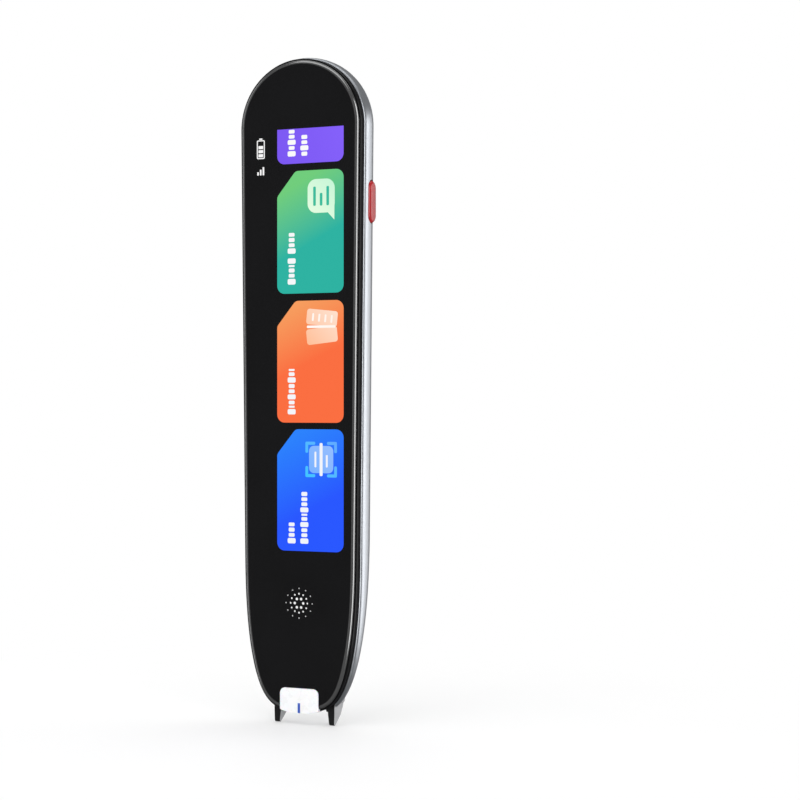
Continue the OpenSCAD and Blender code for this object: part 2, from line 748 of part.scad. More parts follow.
module rear_shell() color([0.62, 0.64, 0.67]) casing_frame() difference() {
    skin(concat(inner_rings(), outer_rings(true)), back_spine(wall, false), back_spine(0, true));
    // seat, ledge and through opening of the island
    stadium(island_w, island_len, ledge_d, trim_d + cut, island_h);
    stadium(island_w - 2 * ledge_w, island_len - 2 * ledge_w,
            island_hole_d, trim_d + cut, island_h);
    // slot of the side button
    button_stadium(button_w + 2 * button_gap, button_len + 2 * button_gap,
                   flange_face - cut, button_face + cut);
    // opening for the scan frame, and the gaps that the legs stand in
    plate(belly_at(0) - cut, full_depth + cut)
        arch(frame_half_w + gap, -cut, frame_top + gap, frame_corner_r + gap);
    block(2 * leg_gap_half_w, 0, full_depth, -cut, leg_gap_top);
    block(2 * leg_gap_half_w, 0, yoke_rear + foot_room, -cut, yoke_top + foot_room);
}

// ---- screen ---------------------------------------------------------------------------

module display_panel() color([0.12, 0.12, 0.14]) casing_frame()
    block(screen_w, glass_t, plate_d, screen_low, screen_top);

module display_back_plate() color([0.7, 0.7, 0.72]) casing_frame()
    block(screen_w, plate_d, floor_d, screen_low, fold_h - ribbon_bond - gap);

module display_ribbon() color([0.75, 0.5, 0.2]) casing_frame() {
    block(ribbon_w, plate_d, plate_d + ribbon_t, fold_h - ribbon_bond, fold_h);
    block(ribbon_w, plate_d, board_d, fold_h - ribbon_t, fold_h);
    block(ribbon_w, board_d - ribbon_t, board_d, board_top - ribbon_bond, fold_h);
}

// ---- main board -----------------------------------------------------------------------

function screw_xs() = [-1, 1] * (board_w / 2 - screw_edge);
function screw_hs() = [board_low + screw_edge, board_top - screw_edge];

module main_board() color([0.05, 0.3, 0.18]) casing_frame() difference() {
    block(board_w, board_d, chip_d, board_low, board_top);
    for (x = screw_xs(), h = screw_hs()) post(screw_r + gap, board_d - cut, chip_d + cut, h, x);
}

// part of the given [width, length, height] on the board's rear face, at x, with its lower edge
// up above the board's lower edge
module component(size, x, up) {
    block(size.x, chip_d, chip_d + size.z, board_low + up, board_low + up + size.y, x);
}

// x of a part that stands beside the board's left edge
function left_x(size) = left_edge + (size.x - board_w) / 2;

module processor() color([0.15, 0.15, 0.16]) casing_frame()
    component(processor_size, processor_x, processor_up);

module memory_chip() color([0.12, 0.12, 0.13]) casing_frame()
    component(memory_size, left_x(memory_size), memory_up);

module power_chip() color([0.14, 0.14, 0.15]) casing_frame() component(power_size, power_x, processor_up);

module wireless_shield() color([0.8, 0.8, 0.82]) casing_frame() difference() {
    component(can_size, can_x, can_up);
    translate([0, -can_wall, 0])
        component(can_size - [2, 2, 0] * can_wall, can_x, can_up + can_wall);
}

module board_sockets() color([0.85, 0.83, 0.75]) casing_frame() {
    component(battery_socket_size, 0, socket_edge);
    component(flex_socket_size, left_x(flex_socket_size),
              board_len - socket_edge - flex_socket_size.y);
}

module microphone() color([0.75, 0.65, 0.35]) casing_frame()
    component(mic_size, left_x(mic_size), mic_up);

module board_screws() color([0.6, 0.6, 0.62]) casing_frame()
    for (x = screw_xs(), h = screw_hs()) {
        post(screw_r, deck_d + gap, chip_d + eps, h, x);
        post(screw_head_r, chip_d, chip_d + screw_head_t, h, x);
    }

module antenna_strip() color([0.8, 0.55, 0.25]) casing_frame()
    block(antenna_w, deck_d, deck_d + antenna_t, antenna_low, antenna_low + antenna_len);

// ---- battery --------------------------------------------------------------------------

module battery_pad() color([0.9, 0.9, 0.85]) casing_frame()
    block(cell_w - 2 * pad_edge, deck_d, cell_d, cell_low + pad_edge, cell_top - pad_edge);

module battery_cell() color([0.75, 0.77, 0.8]) casing_frame() {
    block(cell_w - cell_t / 2, cell_d, cell_d + cell_t, cell_low, cell_top);
    for (s = [-1, 1]) translate([s * (cell_w / 2 - cell_t / 4), cell_d + cell_t / 2, cell_low])
        scale([1, 2, 1]) cylinder(r = cell_t / 4, h = cell_top - cell_low);
}

module battery_guard_board() color([0.1, 0.35, 0.2]) casing_frame()
    block(cell_w - 2 * guard_edge, chip_d - guard_t, chip_d, cell_top, cell_top + guard_len);

module battery_wires() casing_frame()
    for (s = [-1, 1]) color(s > 0 ? [0.8, 0.1, 0.1] : [0.1, 0.1, 0.1])
        translate([s * wire_x, chip_d + wire_r, wire_low])
            cylinder(r = wire_r, h = board_low + socket_edge - wire_low);

// ---- speaker --------------------------------------------------------------------------

module speaker_unit() color([0.16, 0.16, 0.17]) casing_frame()
    block(speaker_w, deck_d, deck_d + speaker_t,
          speaker_h - speaker_len / 2, speaker_h + speaker_len / 2);

module speaker_foam() color([0.25, 0.25, 0.25]) casing_frame() difference() {
    post(port_r + foam_wall, glass_t, deck_d, speaker_h);
    post(port_r, glass_t - cut, deck_d + cut, speaker_h);
}

module speaker_mesh() color([0.9, 0.9, 0.9]) casing_frame()
    post(port_r, glass_t, glass_t + mesh_t, speaker_h);

// ---- camera island --------------------------------------------------------------------

module island_trim() color([0.85, 0.65, 0.2]) casing_frame() difference() {
    stadium(island_w, island_len, ledge_d, trim_d, island_h);
    stadium(island_w - 2 * trim_w, island_len - 2 * trim_w, ledge_d - cut, trim_d + cut, island_h);
}

module camera_window() color([0.03, 0.03, 0.035]) casing_frame() difference() {
    stadium(island_w - 2 * trim_w, island_len - 2 * trim_w, ledge_d, island_d, island_h);
    post(camera_ring_r, ledge_d - cut, island_d + cut, camera_h);
    stadium(contact_w, contact_len, ledge_d - cut, island_d + cut, contact_h);
}

module camera_module() color([0.1, 0.1, 0.11]) casing_frame()
    block(camera_base_w, chip_d, camera_seat_d,
          camera_h - camera_base_w / 2, camera_h + camera_base_w / 2);

module camera_barrel() color([0.07, 0.07, 0.08]) casing_frame() difference() {
    post(camera_ring_r + barrel_wall, camera_seat_d, ledge_d, camera_h);
    post(camera_lens_r, camera_seat_d + barrel_floor, ledge_d + cut, camera_h);
}

module camera_ring() color([0.1, 0.4, 0.75]) casing_frame() difference() {
    post(camera_ring_r, ledge_d, trim_d, camera_h);
    post(camera_lens_r, ledge_d - cut, trim_d + cut, camera_h);
}

module camera_lens() color([0.15, 0.1, 0.25]) casing_frame()
    translate([0, ledge_d - lens_seat, camera_h]) rotate([-90, 0, 0]) rotate_extrude()
        intersection() {
            square([camera_lens_r, lens_crown]);
            translate([0, lens_crown - lens_curve_r]) circle(lens_curve_r);
        }

// ---- charging contacts ----------------------------------------------------------------

function contact_hs() = [for (i = [0 : contact_count - 1])
    contact_h + contact_pitch * (i - (contact_count - 1) / 2)];

module contact_plate() color([0.75, 0.75, 0.76]) casing_frame() difference() {
    stadium(contact_w, contact_len, contact_back_d, island_d, contact_h);
    for (h = contact_hs()) post(well_r, contact_back_d + well_floor, island_d + cut, h);
    for (h = contact_hs()) post(pin_r, contact_back_d - cut, island_d, h);
}

module contact_pins() color([0.85, 0.7, 0.35]) casing_frame()
    for (h = contact_hs()) post(pin_r, contact_back_d, island_d - pin_sink, h);

module contact_board() color([0.05, 0.3, 0.2]) casing_frame()
    block(contact_board_w, contact_back_d - small_board_t, contact_back_d,
          contact_h - contact_len / 2 - contact_rim, contact_h + contact_len / 2 + contact_rim);

module contact_magnets() color([0.65, 0.65, 0.68]) casing_frame()
    for (s = [-1, 1])
        post(magnet_r, contact_back_d, ledge_d, contact_h, s * (contact_w / 2 + magnet_r + gap));

// ---- side button ----------------------------------------------------------------------

// stadium prism that runs along x from x0 to x1 at the button
module button_stadium(w, l, x0, x1) {
    translate([0, button_d, 0]) rotate([0, 0, -90]) stadium(w, l, x0, x1, button_h);
}

// pill of width w and length l with a rounded outer edge, standing on z0 and reaching z1
module pill(w, l, z0, z1, r) {
    for (s = [-1, 1]) translate([0, s * (l - w) / 2, 0]) rotate_extrude() intersection() {
        arch(w / 2, z0, z1, r);
        translate([0, z0]) square([w / 2, z1 - z0]);
    }
    translate([0, (l - w) / 2, 0]) rotate([90, 0, 0]) linear_extrude(l - w) arch(w / 2, z0, z1, r);
}

module side_button() color([0.75, 0.1, 0.12]) casing_frame() {
    translate([0, button_d, button_h]) rotate([90, 0, 90])
        pill(button_w, button_len, flange_face - eps, button_face, button_round);
    button_stadium(button_w + 2 * flange_w, button_len + 2 * flange_w, button_back, flange_face);
    translate([stem_end, button_d, button_h]) rotate([0, 90, 0])
        cylinder(r = stem_r, h = button_back - stem_end + eps);
}

module side_switch() color([0.2, 0.2, 0.21]) casing_frame() difference() {
    translate([tact_face - tact_w, chip_d, button_h - tact_len / 2])
        cube([tact_w, tact_t, tact_len]);
    translate([tact_face - tact_bore, chip_d + tact_t / 2, button_h]) rotate([0, 90, 0])
        cylinder(r = plunger_r + plunger_fit, h = tact_bore + cut);
}

module side_switch_plunger() color([0.85, 0.85, 0.8]) casing_frame()
    translate([tact_face - plunger_hold, chip_d + tact_t / 2, button_h]) rotate([0, 90, 0])
        cylinder(r = plunger_r, h = plunger_hold + button_travel + plunger_show);

// ---- nose -----------------------------------------------------------------------------

module scan_frame() color([0.05, 0.05, 0.055]) casing_frame() difference() {
    intersection() {
        casing_body();
        plate(recess_depth - frame_floor_t, full_depth)
            arch(frame_half_w, leg_gap_top, frame_top, frame_corner_r);
    }
    plate(recess_depth, full_depth + cut)
        arch(recess_half_w, recess_low, recess_top, recess_round);
    plate(0, full_depth + cut)
        arch(window_half_w + gap, -cut, rear_window_top + gap, rear_corner_r + gap);
}

module recess_panel() color([0.16, 0.16, 0.165]) casing_frame()
    plate(recess_depth, recess_depth + panel_rise) translate([0, recess_low + panel_inset])
        arch(recess_half_w - panel_inset, 0, recess_top - recess_low - 2 * panel_inset, panel_round);

// curved arms that carry the hinge pins beside the nose window
module hinge_arms() color([0.06, 0.06, 0.065]) casing_frame() for_both_sides() difference() {
    translate([arm_in, 0, 0]) rotate([90, 0, 90]) linear_extrude(arm_out - arm_in) {
        polygon([
            [yoke_rear, leg_gap_top], [yoke_rear - 1.3, 2], [yoke_rear - 1.5, 0.9],
            [yoke_rear - 1.2, 0.3], [yoke_rear - 0.6, 0.45], [hinge_d - 0.5, hinge_h - 0.9],
            [hinge_d, hinge_h], [hinge_d + 0.6, leg_gap_top]
        ]);
        translate([hinge_d, hinge_h]) circle(knuckle_r - 0.05);
    }
    translate([arm_in - cut, hinge_d, hinge_h]) rotate([0, 90, 0])
        cylinder(r = hinge_pin_r, h = arm_out - arm_in + 2 * cut);
}

// side profile of the nose, drawn in depth and height, grown outwards by t
function nose_profile(t = 0) = [for (k = [0 : nose_profile_steps])
    let (a = 90 * k / nose_profile_steps, h = nose_centre * (1 - pow(cos(a), 2 / back_pow)))
    [rounded_depth(h, a, -t), h]];

// outline of the nose window's lower edge
module nose_arc() {
    post(nose_arc_r, -cut, full_depth + cut, nose_arc_r);
}

module nose_bar(w) {
    translate([-w / 2, 0, 0]) rotate([90, 0, 90]) linear_extrude(w) children();
}

module nose_window() color([0.93, 0.93, 0.94]) casing_frame() difference() {
    intersection() {
        nose_bar(2 * window_half_w + 1) polygon(concat([[0, nose_centre], [0, 0]], nose_profile()));
        nose_arc();
        union() {
            plate(-cut, window_wall) arch(window_half_w, -cut, window_top, window_corner_r);
            plate(window_wall, full_depth)
                arch(window_half_w, -cut, rear_window_top, rear_corner_r);
        }
    }
    block(scan_w, window_wall, scan_rear + 0.5, window_wall, window_top + cut);
    block(scan_w, scan_front, scan_rear, -cut, window_wall + cut);
}

module nose_marks() color([0.2, 0.35, 0.75]) casing_frame() {
    block(mark_w, -mark_t / 2, 0, mark_low, mark_low + mark_len);
    intersection() {
        nose_bar(mark_w) polygon(concat(
            nose_profile(mark_t),
            [for (k = [nose_profile_steps : -1 : 0]) nose_profile()[k]]));
        block(mark_w, 0, full_depth, mark_low, mark_low + mark_len);
    }
}

module scan_pane() color([0.75, 0.85, 0.9, 0.5]) casing_frame()
    block(scan_w, scan_front, scan_rear, window_wall - pane_t, window_wall);

module scan_board() color([0.05, 0.3, 0.2]) casing_frame()
    block(2 * scan_board_half_w, deck_d - small_board_t, deck_d, scan_board_low, scan_board_top);

module scan_camera() color([0.1, 0.1, 0.11]) casing_frame() difference() {
    block(scan_cam_w, deck_d, deck_d + scan_cam_t, scan_cam_low, scan_cam_low + scan_cam_len);
    translate([0, deck_d + scan_cam_t / 2, scan_cam_low - cut])
        cylinder(r = scan_lens_r, h = cut + scan_lens_seat);
}

module scan_camera_lens() color([0.3, 0.35, 0.45]) casing_frame()
    translate([0, deck_d + scan_cam_t / 2, scan_cam_low - scan_lens_proud])
        cylinder(r = scan_lens_r, h = scan_lens_seat + scan_lens_proud);

module scan_lamps() color([0.95, 0.95, 0.85]) casing_frame()
    for (s = [-1, 1]) block(lamp_w, deck_d, deck_d + lamp_t,
                            lamp_low, lamp_low + lamp_w, s * lamp_x);

// ---- scan foot ------------------------------------------------------------------------

// side profile of a leg, drawn in depth and height
module leg_profile() {
    polygon([
        [ear_front, yoke_top], [ear_front, leg_gap_top], [leg_front, leg_gap_top - 0.5],
        [leg_front, 0.6 - leg_reach], [leg_front + 0.15, 0.15 - leg_reach],
        [leg_front + 0.5, -leg_reach], [leg_front + 0.95, 0.3 - leg_reach],
        [hinge_d - 2.2, -1.6], [hinge_d - 0.9, -0.4], [hinge_d + 0.1, 1.2],
        [hinge_d + knuckle_r - 0.05, hinge_h - 0.2],
        [hinge_d, hinge_h + knuckle_r - 0.05],
        [yoke_rear, leg_gap_top - 0.35], [yoke_rear, yoke_top]
    ]);
}

module leg() difference() {
    union() {
        intersection() {
            translate([leg_x - leg_w / 2, 0, 0]) rotate([90, 0, 90]) linear_extrude(leg_w)
                leg_profile();
            plate(0, full_depth) polygon([
                [leg_x - leg_w / 2, yoke_top], [leg_x - leg_w / 2, 0],
                [leg_tip_x - leg_tip_w / 2, -leg_reach], [leg_tip_x + leg_tip_w / 2, -leg_reach],
                [leg_x + leg_w / 2, 0], [leg_x + leg_w / 2, yoke_top]
            ]);
        }
        translate([knuckle_in, hinge_d, hinge_h]) rotate([0, 90, 0])
            cylinder(r = knuckle_r, h = knuckle_out - knuckle_in);
    }
    translate([knuckle_in - cut, hinge_d, hinge_h]) rotate([0, 90, 0])
        cylinder(r = hinge_pin_r + hinge_fit, h = knuckle_out - knuckle_cap - knuckle_in + cut);
}

module scan_foot() color([0.12, 0.12, 0.125]) casing_frame() {
    for_both_sides() leg();
    block(2 * leg_x, yoke_front, yoke_rear, yoke_low, yoke_top);
}

module hinge_pins() color([0.7, 0.7, 0.72]) casing_frame() for_both_sides()
    translate([arm_in, hinge_d, hinge_h]) rotate([0, 90, 0])
        cylinder(r = hinge_pin_r, h = knuckle_out - knuckle_cap - gap - arm_in);

module trigger_switch() color([0.2, 0.2, 0.21]) casing_frame() difference() {
    block(trigger_w, deck_d, deck_d + trigger_t,
          trigger_body_low, trigger_body_low + trigger_len, leg_x);
    translate([leg_x, trigger_d, trigger_body_low - cut])
        cylinder(r = plunger_r + plunger_fit, h = cut + trigger_bore);
}

module trigger_plunger() color([0.85, 0.85, 0.8]) casing_frame()
    translate([leg_x, trigger_d, trigger_low])
        cylinder(r = plunger_r, h = trigger_body_low - trigger_low + plunger_hold);

// tube swept along a rising helix
function helix_point(t, r, rise) = [r * cos(t), r * sin(t), rise * t / 360];

module coil(r, wire, turns, rise) {
    steps = 14 * turns;
    sides = 6;
    pts = [for (i = [0 : steps]) let (t = 360 * turns * i / steps)
        each [for (j = [0 : sides - 1]) let (a = 360 * j / sides)
            helix_point(t, r + wire * cos(a), rise) + [0, 0, wire * sin(a)]]];
    polyhedron(points = pts, faces = concat(
        [for (i = [0 : steps - 1], j = [0 : sides - 1]) let (k = (j + 1) % sides)
            each [[i * sides + j, (i + 1) * sides + k, i * sides + k],
                  [i * sides + j, (i + 1) * sides + j, (i + 1) * sides + k]]],
        [[for (j = [0 : sides - 1]) j]],
        [[for (j = [sides - 1 : -1 : 0]) steps * sides + j]]));
}

module foot_spring() color([0.75, 0.75, 0.78]) casing_frame()
    translate([-leg_x, deck_d + spring_r + spring_wire_r + press_gap,
               trigger_body_low - 2 * spring_wire_r])
        coil(spring_r, spring_wire_r, spring_turns, spring_pitch);

// ---- output ---------------------------------------------------------------------------

cover_glass();
glass_tape();
mid_frame();
rear_shell();
display_panel();
display_back_plate();
display_ribbon();
main_board();
processor();
memory_chip();
power_chip();
wireless_shield();
board_sockets();
microphone();
board_screws();
antenna_strip();
battery_cell();
battery_pad();
battery_guard_board();
battery_wires();
speaker_unit();
speaker_foam();
speaker_mesh();
camera_window();
island_trim();
camera_module();
camera_barrel();
camera_ring();
camera_lens();
contact_plate();
contact_pins();
contact_board();
contact_magnets();
side_button();
side_switch();
side_switch_plunger();
scan_frame();
recess_panel();
hinge_arms();
nose_window();
nose_marks();
scan_pane();
scan_board();
scan_camera();
scan_camera_lens();
scan_lamps();
scan_foot();
hinge_pins();
foot_spring();
trigger_switch();
trigger_plunger();
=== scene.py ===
"""Looks of a handheld translation pen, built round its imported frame.

Shapes are worked out in casing coordinates, in millimetres: x across the pen, d the depth behind
the front glass and h the height above the nose. to_frame() turns them into the frame's metres.
"""
import json
import math

import bmesh
import bpy
import numpy as np
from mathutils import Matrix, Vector


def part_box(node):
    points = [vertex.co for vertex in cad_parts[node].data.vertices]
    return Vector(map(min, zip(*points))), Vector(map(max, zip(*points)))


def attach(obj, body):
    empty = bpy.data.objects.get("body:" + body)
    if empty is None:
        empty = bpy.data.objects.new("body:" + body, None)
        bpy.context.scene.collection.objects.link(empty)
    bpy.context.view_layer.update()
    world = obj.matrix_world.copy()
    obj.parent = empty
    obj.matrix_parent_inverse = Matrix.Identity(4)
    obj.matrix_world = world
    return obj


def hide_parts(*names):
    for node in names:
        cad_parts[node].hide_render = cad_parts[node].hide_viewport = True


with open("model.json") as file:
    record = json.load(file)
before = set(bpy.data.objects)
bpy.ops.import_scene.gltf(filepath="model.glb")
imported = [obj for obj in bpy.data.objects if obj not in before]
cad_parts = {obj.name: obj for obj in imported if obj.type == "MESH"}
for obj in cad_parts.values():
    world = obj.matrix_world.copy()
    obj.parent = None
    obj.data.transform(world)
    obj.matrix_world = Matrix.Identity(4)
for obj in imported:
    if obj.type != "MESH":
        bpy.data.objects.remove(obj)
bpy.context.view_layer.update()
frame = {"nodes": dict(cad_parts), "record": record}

SCENE = bpy.context.scene
MM = 0.001

# ---- driving sizes of the casing, as in the part's source ----
CASE_LEN = 160.0
FULL_DEPTH = 12.2
DOME_R = 17.2
NOSE_HALF_W = 15.7
NOSE_LEN = 38.0
NOSE_POW_X = 3.74
NOSE_POW_H = 2.34
NOSE_CENTRE = 16.0
BELLY_DEPTH = 4.5
NOSE_THIN = 4.8
NOSE_THIN_LEN = 42.0
NOSE_THIN_POW = 1.3
BACK_POW = 2.5
WALL = 1.1
RIM_DEPTH = 2.2
RIM_TUCK = 0.5
GLASS_T = 0.9
GLASS_INSET = 1.08
GLASS_CURVE_W = 0.85
GLASS_CURVE_D = 0.5
BEZEL_INSET = 0.6
BEZEL_LIP_D = 0.7
GLASS_GAP = 0.06
SCREEN_D = 1.0
FLOOR_D = 2.6
DECK_D = 3.2
SKIRT_INSET = 1.8
SKIRT_T = 0.9
SKIRT_DEPTH = 3.9
PLATEAU_RISE = 0.55
PLATEAU_LAND = 0.5
PLATEAU_SLOPE = 5.4
FIT_GAP = 0.1
LEG_GAP_HALF_W = 8.75
LEG_GAP_TOP = 4.75
FOOT_ROOM_TOP = 6.92
WINDOW_HALF_W = 5.3
WINDOW_TOP = 6.2
WINDOW_CORNER_R = 1.4
REAR_WINDOW_TOP = 5.4
REAR_CORNER_R = 1.7
WINDOW_WALL = 1.0
NOSE_ARC_R = 17.5
SCAN_W = 8.4
SCAN_FRONT = 1.6
SCAN_REAR = 4.2
FRAME_CORNER_R = 1.1
RECESS_LOW = 6.3
RECESS_WALL = 0.75
RECESS_DEPTH = 7.0
RECESS_CORNER_R = 0.8
GRILLE_H = 26.9
HINGE_D = 7.0
HINGE_H = 3.4
KNUCKLE_R = 1.05
KNUCKLE_IN = 6.27
KNUCKLE_OUT = 8.53
GRILLE_RINGS = [(1.17, 0.35, 6, 0.01), (2.3, 0.25, 12, 0.03), (3.6, 0.2, 12, 0.12)]

DOME_CENTRE = CASE_LEN - DOME_R
TAPER = (DOME_R - NOSE_HALF_W) / DOME_CENTRE
PLATEAU_D = FULL_DEPTH + PLATEAU_RISE
ORIGIN = np.array([0, FULL_DEPTH / 2, CASE_LEN / 2])

# how finely the shells are drawn
NOSE_STEPS = 48
DOME_STEPS = 44
SIDE_ROW = 2.2
ISLAND_ROW = 0.55
ISLAND_ROWS_FROM = 116.0
STADIUM_ROWS = 14
SOFTEN_FROM = 35


def to_frame(points):
    """Casing coordinates in millimetres to the frame's metres."""
    return (np.asarray(points, float) - ORIGIN) * MM


def casing_box(node):
    """Lowest and highest corner of a node in casing coordinates."""
    low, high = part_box(node)
    return np.array(low) / MM + ORIGIN, np.array(high) / MM + ORIGIN


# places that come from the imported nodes
TRIM_LOW, TRIM_HIGH = casing_box("island_trim")
ISLAND_W = TRIM_HIGH[0] - TRIM_LOW[0]
ISLAND_LEN = TRIM_HIGH[2] - TRIM_LOW[2]
ISLAND_H = (TRIM_LOW[2] + TRIM_HIGH[2]) / 2
TRIM_D = TRIM_HIGH[1]
LEDGE_D = TRIM_LOW[1]
ISLAND_D = casing_box("camera_window")[1][1]
RING_LOW, RING_HIGH = casing_box("camera_ring")
CAMERA_H = (RING_LOW[2] + RING_HIGH[2]) / 2
RING_R = RING_HIGH[0]
LENS_R = casing_box("camera_lens")[1][0]
PLATE_LOW, PLATE_HIGH = casing_box("contact_plate")
CONTACT_W = PLATE_HIGH[0] - PLATE_LOW[0]
CONTACT_LEN = PLATE_HIGH[2] - PLATE_LOW[2]
CONTACT_H = (PLATE_LOW[2] + PLATE_HIGH[2]) / 2
BUTTON_LOW, BUTTON_HIGH = casing_box("side_button")
BUTTON_H = (BUTTON_LOW[2] + BUTTON_HIGH[2]) / 2
BUTTON_D = (BUTTON_LOW[1] + BUTTON_HIGH[1]) / 2
BUTTON_FACE = BUTTON_HIGH[0]
FLANGE_W = 0.3
FLANGE_T = 0.4
STEM_LEN = 0.7
BUTTON_W = BUTTON_HIGH[1] - BUTTON_LOW[1] - 2 * FLANGE_W
BUTTON_LEN = BUTTON_HIGH[2] - BUTTON_LOW[2] - 2 * FLANGE_W
BUTTON_ROUND = 0.95
BUTTON_SLOT_GAP = 0.12
FRAME_LOW, FRAME_HIGH = casing_box("scan_frame")
FRAME_HALF_W = FRAME_HIGH[0]
FRAME_TOP = FRAME_HIGH[2]
FRAME_FLOOR = FRAME_LOW[1]


# ---- casing surface ----

def back_at(h):
    return FULL_DEPTH - NOSE_THIN * np.maximum(0, 1 - h / NOSE_THIN_LEN) ** NOSE_THIN_POW


def belly_at(h):
    return BELLY_DEPTH * back_at(h) / FULL_DEPTH


def spine_points(points):
    """The point on the pen's spine that each [x, h] closes towards."""
    return np.column_stack([np.zeros(len(points)), np.clip(points[:, 1], NOSE_CENTRE, DOME_CENTRE)])


def casing_outline():
    """The widest outline as [x, h], from the nose up the right side and down the left."""
    t = math.pi / 2 * np.linspace(0, 1, NOSE_STEPS + 1) ** 1.5
    nose_h = NOSE_LEN * (1 - np.abs(np.cos(t)) ** (2 / NOSE_POW_H))
    nose_x = (NOSE_HALF_W + TAPER * nose_h) * np.sin(t) ** (2 / NOSE_POW_X)
    side_h = np.concatenate([
        np.arange(NOSE_LEN + SIDE_ROW, ISLAND_ROWS_FROM, SIDE_ROW),
        np.arange(ISLAND_ROWS_FROM, DOME_CENTRE - ISLAND_ROW / 2, ISLAND_ROW),
    ])
    a = np.linspace(0, math.pi / 2, DOME_STEPS + 1)
    right = np.concatenate([
        np.column_stack([nose_x, nose_h]),
        np.column_stack([NOSE_HALF_W + TAPER * side_h, side_h]),
        np.column_stack([DOME_R * np.cos(a), DOME_CENTRE + DOME_R * np.sin(a)]),
    ])
    right[-1, 0] = 0
    left = right[-2:0:-1] * [-1, 1]
    return np.concatenate([right, left])


OUTLINE = casing_outline()
NOSE_PART = OUTLINE[:NOSE_STEPS + 1][OUTLINE[:NOSE_STEPS + 1, 1] <= NOSE_CENTRE + 1]
NOSE_ANGLES = np.arctan2(NOSE_PART[:, 0], NOSE_CENTRE - NOSE_PART[:, 1])
NOSE_REACH = np.hypot(NOSE_PART[:, 0], NOSE_CENTRE - NOSE_PART[:, 1])
RIGHT_SIDE = OUTLINE[:np.argmax(OUTLINE[:, 1])]


def toward_spine(points, inset, share=1.0):
    spine = spine_points(points)
    reach = np.linalg.norm(points - spine, axis=1)
    return spine + (points - spine) * ((reach - inset) * share / reach)[:, None]


def with_plateau(x, h, d):
    """Depth d lifted to the plateau's round the island."""
    straight = np.maximum(0, np.abs(h - ISLAND_H) - (ISLAND_LEN - ISLAND_W) / 2)
    outside = np.hypot(x, straight) - ISLAND_W / 2 - PLATEAU_LAND
    t = np.clip(outside / PLATEAU_SLOPE, 0, 1)
    lift = 1 - t * t * (3 - 2 * t)
    return d + (PLATEAU_D - d) * lift


def flat_ring(inset, d):
    p = toward_spine(OUTLINE, inset)
    return np.column_stack([p[:, 0], np.full(len(p), d), p[:, 1]])


def side_ring(v, inset):
    """A ring between the rim (v = 0) and the widest line (v = 1)."""
    a = math.pi / 2 * v
    p = toward_spine(OUTLINE, inset + RIM_TUCK * (1 - math.sin(a)))
    belly = belly_at(p[:, 1])
    return np.column_stack([p[:, 0], belly - (belly - RIM_DEPTH) * math.cos(a), p[:, 1]])


def rounded_depth(h, share, inset=0.0):
    """Depth of the rounded back at the given share of the way from the spine to the outline."""
    belly = belly_at(h)
    return belly + (back_at(h) - inset - belly) * (1 - share ** BACK_POW) ** (1 / BACK_POW)


def back_ring(a, inset, plateau):
    share = math.cos(a) ** (2 / BACK_POW)
    p = toward_spine(OUTLINE, inset, share)
    d = rounded_depth(p[:, 1], share, inset)
    if plateau:
        d = with_plateau(p[:, 0], p[:, 1], d)
    return np.column_stack([p[:, 0], d, p[:, 1]])


def back_spine(inset, plateau):
    """Depth of the back along the spine, as a function of x and h."""
    def depth(x, h):
        d = rounded_depth(h, 0.0, inset)
        return with_plateau(x, h, d) if plateau else d
    return depth


def from_spine(x, h):
    """Distance of [x, h] from the spine, and that of the outline in the same direction."""
    below = NOSE_CENTRE - np.minimum(h, NOSE_CENTRE)
    above = np.maximum(h, DOME_CENTRE) - DOME_CENTRE
    side = np.where(above > 0, DOME_R, np.interp(h, RIGHT_SIDE[:, 1], RIGHT_SIDE[:, 0]))
    nose = np.interp(np.arctan2(np.abs(x), below), NOSE_ANGLES, NOSE_REACH)
    return np.hypot(x, below + above), np.where(below > 0, nose, side)


def surface_depth(x, h):
    """Depth of the outer back, without the plateau, at [x, h]."""
    distance, reach = from_spine(x, h)
    return rounded_depth(h, np.clip(distance / reach, 0, 1))


# ---- mesh helpers ----

def skin(rings, start_depth, end_depth):
    """Vertices and faces of a closed shell through rings, capped at both ends on the spine.

    start_depth and end_depth give the depth of the caps' spine, as a number or a function."""
    count = len(OUTLINE)
    spine_h, index = np.unique(np.round(spine_points(OUTLINE)[:, 1], 6), return_inverse=True)
    spines = [raised(np.column_stack([0 * spine_h, spine_h]), d) for d in (start_depth, end_depth)]
    faces = ring_faces(count, len(rings))
    base = len(rings) * count
    for ring, base in ((0, base), (len(rings) - 1, base + len(spine_h))):
        for i in range(count):
            j = (i + 1) % count
            u, v = base + index[i], base + index[j]
            face = [ring * count + i, ring * count + j, v, u]
            faces.append(face if u != v else face[:3])
    return np.concatenate([*rings, *spines]), faces


def ring_faces(count, rings, closed=False):
    """Quads between neighbouring rings of count points each."""
    faces = []
    for k in range(rings if closed else rings - 1):
        a, b = k * count, (k + 1) % rings * count
        faces += [[a + i, a + (i + 1) % count, b + (i + 1) % count, b + i] for i in range(count)]
    return faces


def loft(rings, closed=False):
    """Closed shell through rings with the same number of points, with flat ends if not closed."""
    count = len(rings[0])
    faces = ring_faces(count, len(rings), closed)
    if not closed:
        faces += [list(range(count)), list(range((len(rings) - 1) * count, len(rings) * count))]
    return np.concatenate(rings), faces


def joined(*shells):
    """Several (vertices, faces) shells as one."""
    verts, faces, start = [], [], 0
    for v, f in shells:
        verts.append(v)
        faces += [[start + i for i in face] for face in f]
        start += len(v)
    return np.concatenate(verts), faces


def placed(name, data):
    """An object in the scene."""
    obj = bpy.data.objects.new(name, data)
    SCENE.collection.objects.link(obj)
    return obj


